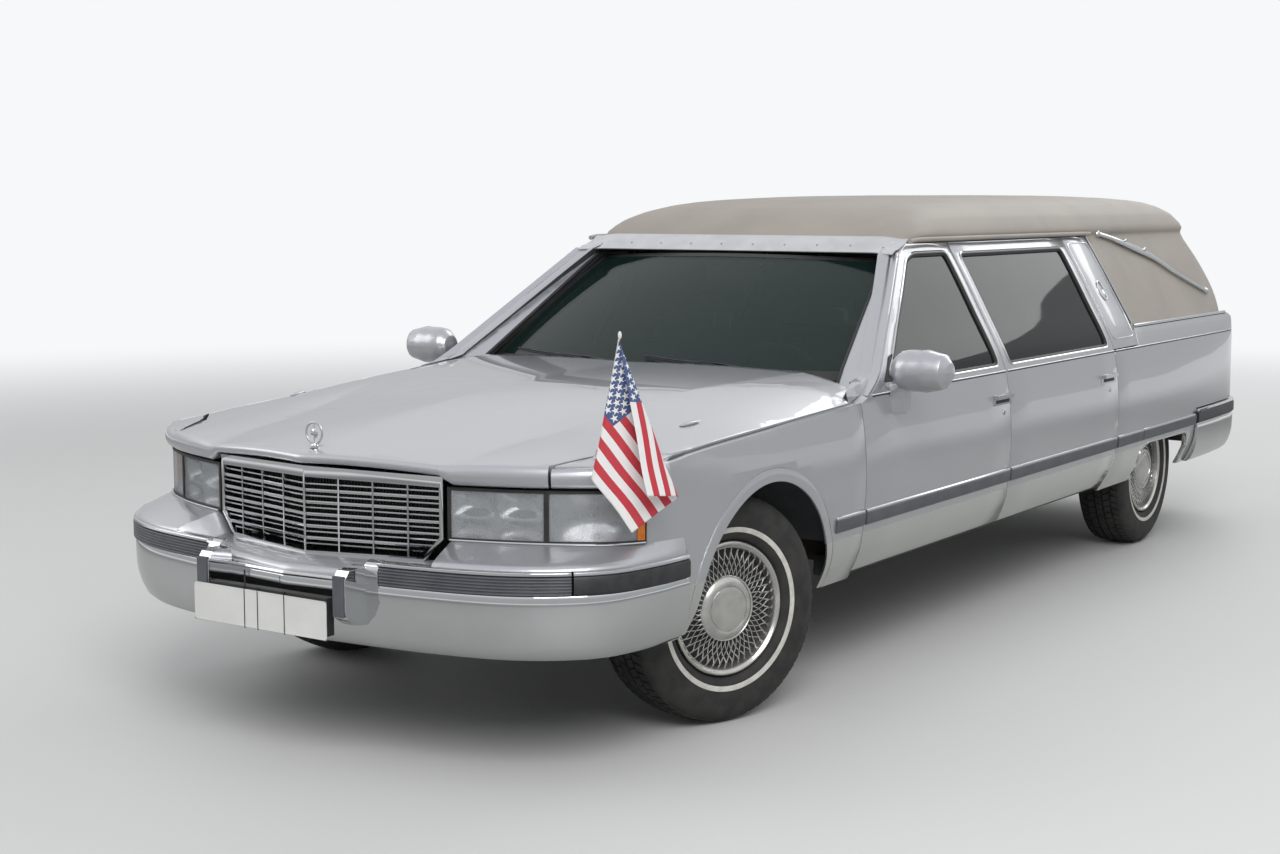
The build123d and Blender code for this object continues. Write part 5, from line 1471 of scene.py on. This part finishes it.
def makeArches():
    # flat lip round the front wheel opening, a bright bead round the low rear one
    cy, cz, r = wheelPlaces["front"][1], wheelSizes["hub"], 0.395
    pts = [(cy - r * cos(a), cz + r * sin(a)) for a in np.linspace(radians(-1.0), radians(181.0), 60)]
    lip = [(-0.004, -0.004), (0.0022, -0.004), (0.0028, 0.0), (0.0028, 0.03), (0.001, 0.036), (-0.004, 0.037)]
    places, outs, ups = onSkin([p[0] for p in pts], [p[1] for p in pts])
    ups = [Vector((0, p[0] - cy, p[1] - cz)).normalized() for p in pts]
    front = sweep(places, outs, ups, lip)
    rearLine = rounded([(1.424, 0.42), (1.428, 0.47), (1.46, 0.494), (1.52, 0.506), (1.78, 0.505), (2.03, 0.5),
                        (2.062, 0.47), (2.08, 0.42)], 6)
    bead = [(-0.004, 0.0), (0.002, 0.0), (0.0035, 0.003), (0.002, 0.007), (-0.004, 0.008)]
    places, outs, _ = onSkin(rearLine[:, 0], rearLine[:, 1])
    along = np.gradient(places, axis=0)
    ups = [Vector(o).cross(Vector(a)).normalized() for o, a in zip(outs, along)]
    ups = [-u if u.z < 0 and abs(u.z) > 0.4 else u for u in ups]
    rear = sweep(places, outs, ups, bead)
    for name, piece, paint in (("frontArchLips", front, "paint"), ("rearArchBeads", rear, "chrome")):
        solid(name, [piece, flip(piece)], "body", (paint,), "paint", angle=40)
    print("arches done")


def makeBelt():
    # the groove is a black band painted as the shade of the crease; the bright bead is the belt moulding on the doors
    # and a painted highlight of the crease along the quarter
    groove = [(-0.004, -0.004), (0.0006, -0.004), (0.0006, 0.0), (-0.004, 0.0)]
    bright = [(-0.004, 0.0), (0.0022, 0.0005), (0.003, 0.0025), (0.0018, 0.0045), (-0.004, 0.005)]
    runs = {"body": [(1.094, 2.79)], "front_door_{}_body": [(-1.2, -0.095)], "rear_door_{}_body": [(-0.077, 1.076)]}
    dressSides("beltLine", runs, sideTrim["beltHeight"], (groove, bright), ("rubber", "trimSilver"), angle=50)
    print("belt lines done")


def makePods():
    pods = []
    for side in (1, -1):
        verts, around = [], 12
        for t in (i / 8 for i in range(9)):
            half = 0.0105 * sin(pi * (0.08 + 0.84 * t)) ** 0.6
            height = 0.006 * sin(pi * (0.05 + 0.9 * t)) ** 0.8
            y = -2.12 + 0.085 * t
            z = float(hoodHeight(np.array([0.8]), np.array([y]), True)[0]) + 0.003
            for k in range(around):
                a = 2 * pi * k / around
                verts.append((side * (0.8 + half * cos(a) + 0.012 * (t - 0.5)), y, z + height * sin(a)))
        pods.append((verts, ringFaces(9, around)))
    solid("hoodPods", pods, "hood_body", ("paint",), "paint", angle=60)
    print("washer pods done")


def makeWipers():
    arms = []
    for pivot, tip in ((Vector((-0.06, -1.198, 1.006)), Vector((-0.6, -1.09, 1.036))),
                       (Vector((0.5, -1.18, 1.006)), Vector((0.01, -1.134, 1.036)))):
        run = tip - pivot
        arms.append(tube([pivot, pivot + run * 0.3 + Vector((0, 0, 0.008)), pivot + run * 0.66],
                         [0.0065, 0.005, 0.0035], 10, 0.6))
        arms.append(lathe([(-0.03, 0.0085), (0.006, 0.0085), (0.009, 0.006), (0.0095, 0.0001)], 16, 2, tuple(pivot)))
        for offset, radius in ((0.0, 0.0028), (-0.006, 0.0035)):
            lift = Vector((0, -0.004, offset))
            arms.append(tube([pivot + run * 0.3 + lift, pivot + run * 0.65 + lift, tip + lift], [radius] * 3, 8))
        for t in (0.4, 0.65, 0.9):
            bow = ((t - 0.06, (0, -0.004, 0)), (t, (0, -0.003, 0.004)), (t + 0.06, (0, -0.004, 0)))
            arms.append(tube([pivot + run * share + Vector(lift) for share, lift in bow], [0.002] * 3, 6))
    made = solid("wiperArms", arms, "body", ("trimBlack",), "trim", angle=50)
    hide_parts("wipers")
    print("wipers done")


def makeFrontEdges():
    roll = [(-0.03, 0.0), (-0.006, 0.0015), (0.004, -0.001), (0.0105, -0.0065), (0.0125, -0.013), (0.011, -0.02),
            (0.0055, -0.0265), (-0.004, -0.029), (-0.03, -0.029)]
    line, square = planPath(noseLine, 0, 0.729)
    places = [(p[0] + s[0] * 0.0095, p[1] + s[1] * 0.0095) for p, s in zip(line, square)]
    heights = hoodHeight(np.array([p[0] for p in places]), np.array([p[1] for p in places]), True)
    places = [(p[0], p[1], h + 0.0012) for p, h in zip(places, heights)]
    outs = [(s[0], s[1], 0) for s in square]
    # over the lamps the lip comes down to just above them
    ups = [(0, 0, 1 + ((p[2] - 0.806) / 0.029 - 1) * min(max((p[0] - 0.435) / 0.035, 0), 1)) for p in places]
    places = [(-p[0], p[1], p[2]) for p in places[:0:-1]] + places
    outs = [(-s[0], s[1], 0) for s in outs[:0:-1]] + outs
    solid("hoodLip", [sweep(places, outs, ups[:0:-1] + ups, roll)], "hood_body", ("paint",), "paint", angle=60)
    line, square = planPath(noseLine, 0.7355, y1=-2.44)
    places = [(p[0] + s[0] * 0.006, p[1] + s[1] * 0.006, 0.8572 + (p[0] - 0.744) * 0.05) for p, s in zip(line, square)]
    ups = [(0, 0, (p[2] - 0.806) / 0.029) for p in places]
    cap = sweep(places, [(s[0], s[1], 0) for s in square], ups, roll)
    solid("capLips", [cap, flip(cap)], "body", ("paint",), "paint", angle=60)
    # a bare ring on its foot stands on the hood's nose
    middle = Vector((0, -2.836, 0.924))
    base = [(-0.006, 0.0001), (-0.006, 0.0135), (0.0, 0.013), (0.003, 0.009), (0.008, 0.0083), (0.008, 0.0001)]
    foot = lathe(base, 24, 2, (middle.x, middle.y, 0.8885))
    disc = [(-0.0032, 0.0001), (-0.0026, 0.0115), (0.0, 0.0145), (0.0026, 0.0115), (0.0032, 0.0001)]
    shield = lathe(disc, 32, 1, tuple(middle))
    stays = [tube([middle + Vector((0, 0, height * k)) for height in (0.012, 0.0295)], [0.0018] * 2, 8)
             for k in (-1, 1)]
    solid("hoodOrnament", [foot, shield] + stays, "hood_body", ("chrome",), "chrome", angle=45)
    print("front edges done")


# the housing's root and length across, its middle, radius, taper, its flat back and the glass on it
mirrorSizes = {"stations": 26, "around": 36, "root": 0.9655, "length": 0.2125, "y": -1.05, "z": 1.026,
               "radius": 0.0752, "taper": 0.16, "back": -1.0045, "glassBack": -1.0026, "glassFront": -1.0052,
               "glassX": 1.074, "glassHalf": (0.082, 0.052)}


def makeMirrors():
    stations, around, sizes = mirrorSizes["stations"], mirrorSizes["around"], mirrorSizes
    for side, turn in sides:
        verts = []
        for i in range(stations + 1):
            t = i / stations
            x = sizes["root"] + sizes["length"] * t
            swell = (1 - abs(2 * t ** 0.92 - 1) ** 2.9) ** (1 / 2.3)
            r = sizes["radius"] * max(swell, 0.02) * (1 - sizes["taper"] * t)
            for k in range(around):
                a = 2 * pi * k / around
                verts.append((x, min(sizes["y"] - r * cos(a) * 0.97, sizes["back"]), sizes["z"] + r * sin(a)))
        rim = []
        for a in np.linspace(0, 2 * pi, 40, endpoint=False):
            c, s = cos(a), sin(a)
            x = sizes["glassX"] + sizes["glassHalf"][0] * abs(c) ** 0.6 * (1 if c > 0 else -1)
            z = sizes["z"] + sizes["glassHalf"][1] * abs(s) ** 0.7 * (1 if s > 0 else -1)
            rim.append((x, sizes["glassFront"], z))
        glassVerts = rim + [(x, sizes["glassBack"], z) for x, _, z in rim]
        # the sail in the window's front corner with its bare round button
        sail = [(-1.088, 0.985), (-0.96, 0.982), (-0.957, 1.07), (-0.99, 1.062)]
        ys, zs = [p[0] for p in sail], [p[1] for p in sail]
        sailVerts = [Vector(p) for out in (0.0035, -0.012) for p in onSkin(ys, zs, out)[0]]
        spot = onSkin([-1.03, -1.02, -1.01], [1.005] * 3, 0.003)
        dome = [(-0.002, 0.017), (0.002, 0.017), (0.0034, 0.0145), (0.003, 0.013), (0.0042, 0.006), (0.0045, 0.0001)]
        button = aimed(dome, 28, Vector(spot[0][1]), Vector(spot[1][1])) + (3,)
        pieces = [(verts, ringFaces(stations + 1, around), 0), (glassVerts, prismFaces(len(rim)), 2),
                  (sailVerts, prismFaces(len(sail)), 1), button]
        solid("doorMirror_" + side, [turn(p) for p in pieces], "front_door_" + side + "_body",
              ("paint", "rubber", "chrome", "trimSilver"), "paint", angle=40)
    print("mirrors done")


makeHeader()
makeRoofTrim()
makeLandau()
makeArches()
makeBelt()
makePods()
makeWipers()
makeFrontEdges()
makeMirrors()


def makeRear():
    panel("loading_door", "loading_door_body", [(2, 0.94, 1.56, 0.035), (0, -0.66, 0.66, 0.06)], [crownShape.fitted],
          bevel=0.003, name="loadingDoorSkin")
    panel("loading_window", "loading_door_body", [], [], bevel=0.0, finishes=("sideGlassTintAndReflection",),
          name="loadingDoorGlass")
    panel("tail_lamps", "body", [sideCuts, (1, 2.85, 2.93, 0.01), (0, 0.84, 0.98, 0.015), (0, -0.98, -0.84, 0.015)],
          [bodyShape.fitted], bevel=0.003, finishes=("lensRed",), name="tailLampLenses")
    handle = [brick((-0.07, 2.93, 0.86), (0.07, 2.938, 0.9)), brick((-0.06, 2.936, 0.884), (0.06, 2.95, 0.898)),
              brick((-0.055, 2.936, 0.872), (0.055, 2.9385, 0.886)) + (1,)]
    # the step along the rear bumper's top, and the shelves that close the corners behind the roof
    step = [(-0.3, 0.5975), (0.97, 0.5975), (1.0, 0.5945), (1.0, 0.585), (-0.3, 0.585)]
    deck = bridge(tailLine, rearBumperLine, 2.2, step, step, (-1.0, 1.0), 0.09)
    ys = np.linspace(2.7, 2.908, 10)
    tops = np.interp(ys, [2.78, 2.95], [1.0345, 0.9835])
    skin = onSkin(ys, tops, -0.005)[0][:, 0]
    shelf = slab(*([[(0.69 + (x - 0.69) * t, y, z - drop) for t in np.linspace(0, 1, 6)]
                    for x, y, z in zip(skin, ys, tops)] for drop in (0.0, 0.008)))
    solid("rearStep", [deck], "body", ("stripGrey",), "trim", angle=40)
    solid("cornerShelves", [shelf, flip(shelf)], "body", ("paint",), "paint", angle=40)
    solid("loadingHandle", handle, "loading_door_body", ("chrome", "rubber"), "chrome", bevel=0.002)
    print("rear done")


makeRear()


# the cloth solver's push, its steps, the fill of a pad, and the pleats of a cushion across it
padSizes = {"pressure": 4.0, "frames": 20, "fill": 0.8, "pleats": 5}


def meshOf(piece):
    return bpy.data.meshes.new_from_object(piece.evaluated_get(bpy.context.evaluated_depsgraph_get()))


def crowned(name, low, high, corner, voxel, cap, pleat=0.0, lean=0.0):
    # a stuffed piece: a rounded box, blown up a little by the cloth solver, at most by cap, then its pleats and lean
    bm = bmesh.new()
    bmesh.ops.create_cube(bm, size=1.0)
    for v in bm.verts:
        v.co = [(a + b) / 2 + c * (b - a) for a, b, c in zip(low, high, v.co)]
    bmesh.ops.bevel(bm, geom=bm.edges[:], offset=corner, segments=4, profile=0.5, affect="EDGES", clamp_overlap=True)
    mesh = bpy.data.meshes.new(name)
    bm.to_mesh(mesh)
    bm.free()
    piece = meshObject(name, mesh, "body", ("upholstery",))
    bpy.context.view_layer.objects.active = piece
    remesh = piece.modifiers.new("even", "REMESH")
    remesh.mode = "VOXEL"
    remesh.voxel_size = voxel
    start = meshOf(piece)
    piece.modifiers.clear()
    piece.data = start
    bpy.data.meshes.remove(mesh)
    rest = np.array([v.co[:] for v in start.vertices])
    cloth = piece.modifiers.new("stuffing", "CLOTH")
    cloth.settings.use_pressure = True
    cloth.settings.uniform_pressure_force = padSizes["pressure"]
    cloth.settings.effector_weights.gravity = 0.0
    cloth.settings.quality = 4
    cloth.point_cache.frame_start, cloth.point_cache.frame_end = 1, padSizes["frames"]
    for step in range(1, padSizes["frames"] + 1):
        bpy.context.scene.frame_set(step)
    blown = meshOf(piece)
    piece.modifiers.clear()
    bpy.context.scene.frame_set(1)
    move = np.array([v.co[:] for v in blown.vertices]) - rest
    bpy.data.meshes.remove(blown)
    size = np.linalg.norm(move, axis=1)[:, None]
    places = rest + move * np.minimum(cap / np.maximum(size, 1e-9), 1)
    wave = np.abs(np.sin((places[:, 0] - low[0]) / (high[0] - low[0]) * pi * padSizes["pleats"])) ** 0.6
    places[:, 2] += (wave - 1) * pleat
    places[:, 1] += (places[:, 2] - low[2]) * lean
    for v, place in zip(start.vertices, places):
        v.co = place
    start.materials.clear()
    start.materials.append(materials["upholstery"])
    start.shade_smooth()
    soft = piece.modifiers.new("soft", "SUBSURF")
    soft.levels = soft.render_levels = 1
    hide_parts("front_seat")


def makeSeat():
    for sideName, x0, x1, x in (("right", -0.695, -0.03, -0.37), ("left", 0.03, 0.695, 0.37)):
        crowned("seatCushion_" + sideName, (x0, -0.69, 0.522), (x1, -0.14, 0.66), 0.045, 0.016, 0.02, pleat=0.008)
        crowned("seatBack_" + sideName, (x0, -0.125, 0.56), (x1, 0.02, 1.07), 0.045, 0.016, 0.018, lean=0.1)
        crowned("headRest_" + sideName, (x - 0.115, -0.018, 1.125), (x + 0.115, 0.05, 1.222), 0.028, 0.009, 0.008)
    frameParts = [brick((x, -0.62, 0.42), (x + 0.44, -0.16, 0.53)) for x in (-0.64, 0.2)]
    frameParts += [brick((-0.7, -0.68, 0.49), (0.7, -0.05, 0.525)), brick((-0.69, 0.03, 0.5), (0.69, 0.05, 1.04))]
    for x in (-0.41, -0.33, 0.33, 0.41):
        frameParts.append(tube([Vector((x, 0.018, 1.04)), Vector((x, 0.02, 1.15))], [0.006] * 2, 10) + (1,))
    made = solid("seatFrame", frameParts, "body", ("trimBlack", "chrome"), "upholstery", bevel=0.006)
    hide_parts("front_seat")
    print("seat done")


def makeCab():
    # the mirror under the header, with its glass and stem
    mirror = [brick((-0.125, -0.505, 1.285), (0.125, -0.485, 1.345)),
              brick((-0.118, -0.4855, 1.29), (0.118, -0.4835, 1.34)) + (1,),
              tube([Vector((0, -0.498, 1.33)), Vector((0, -0.5, 1.385))], [0.007] * 2, 10)]
    solid("rearViewMirror", mirror, "body", ("trimBlack", "chrome"), "trim", bevel=0.006)
    print("cab done")


makeSeat()
makeCab()

# nodes of the frame that are shown as they are, and their finishes
carried = {"chassis_frame": "underbody", "floor_pan": "underbody", "dashboard": "trimBlack", "load_deck": "deckBoard",
           "engine": "castIron", "front_suspension": "castIron", "rear_axle": "castIron", "exhaust": "steel",
           "fuel_tank": "steel", "knuckle_left": "castIron", "knuckle_right": "castIron"}


def dressCarried():
    for node, name in carried.items():
        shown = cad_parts[node].data
        shown.materials.clear()
        shown.materials.append(materials[name])


dressCarried()
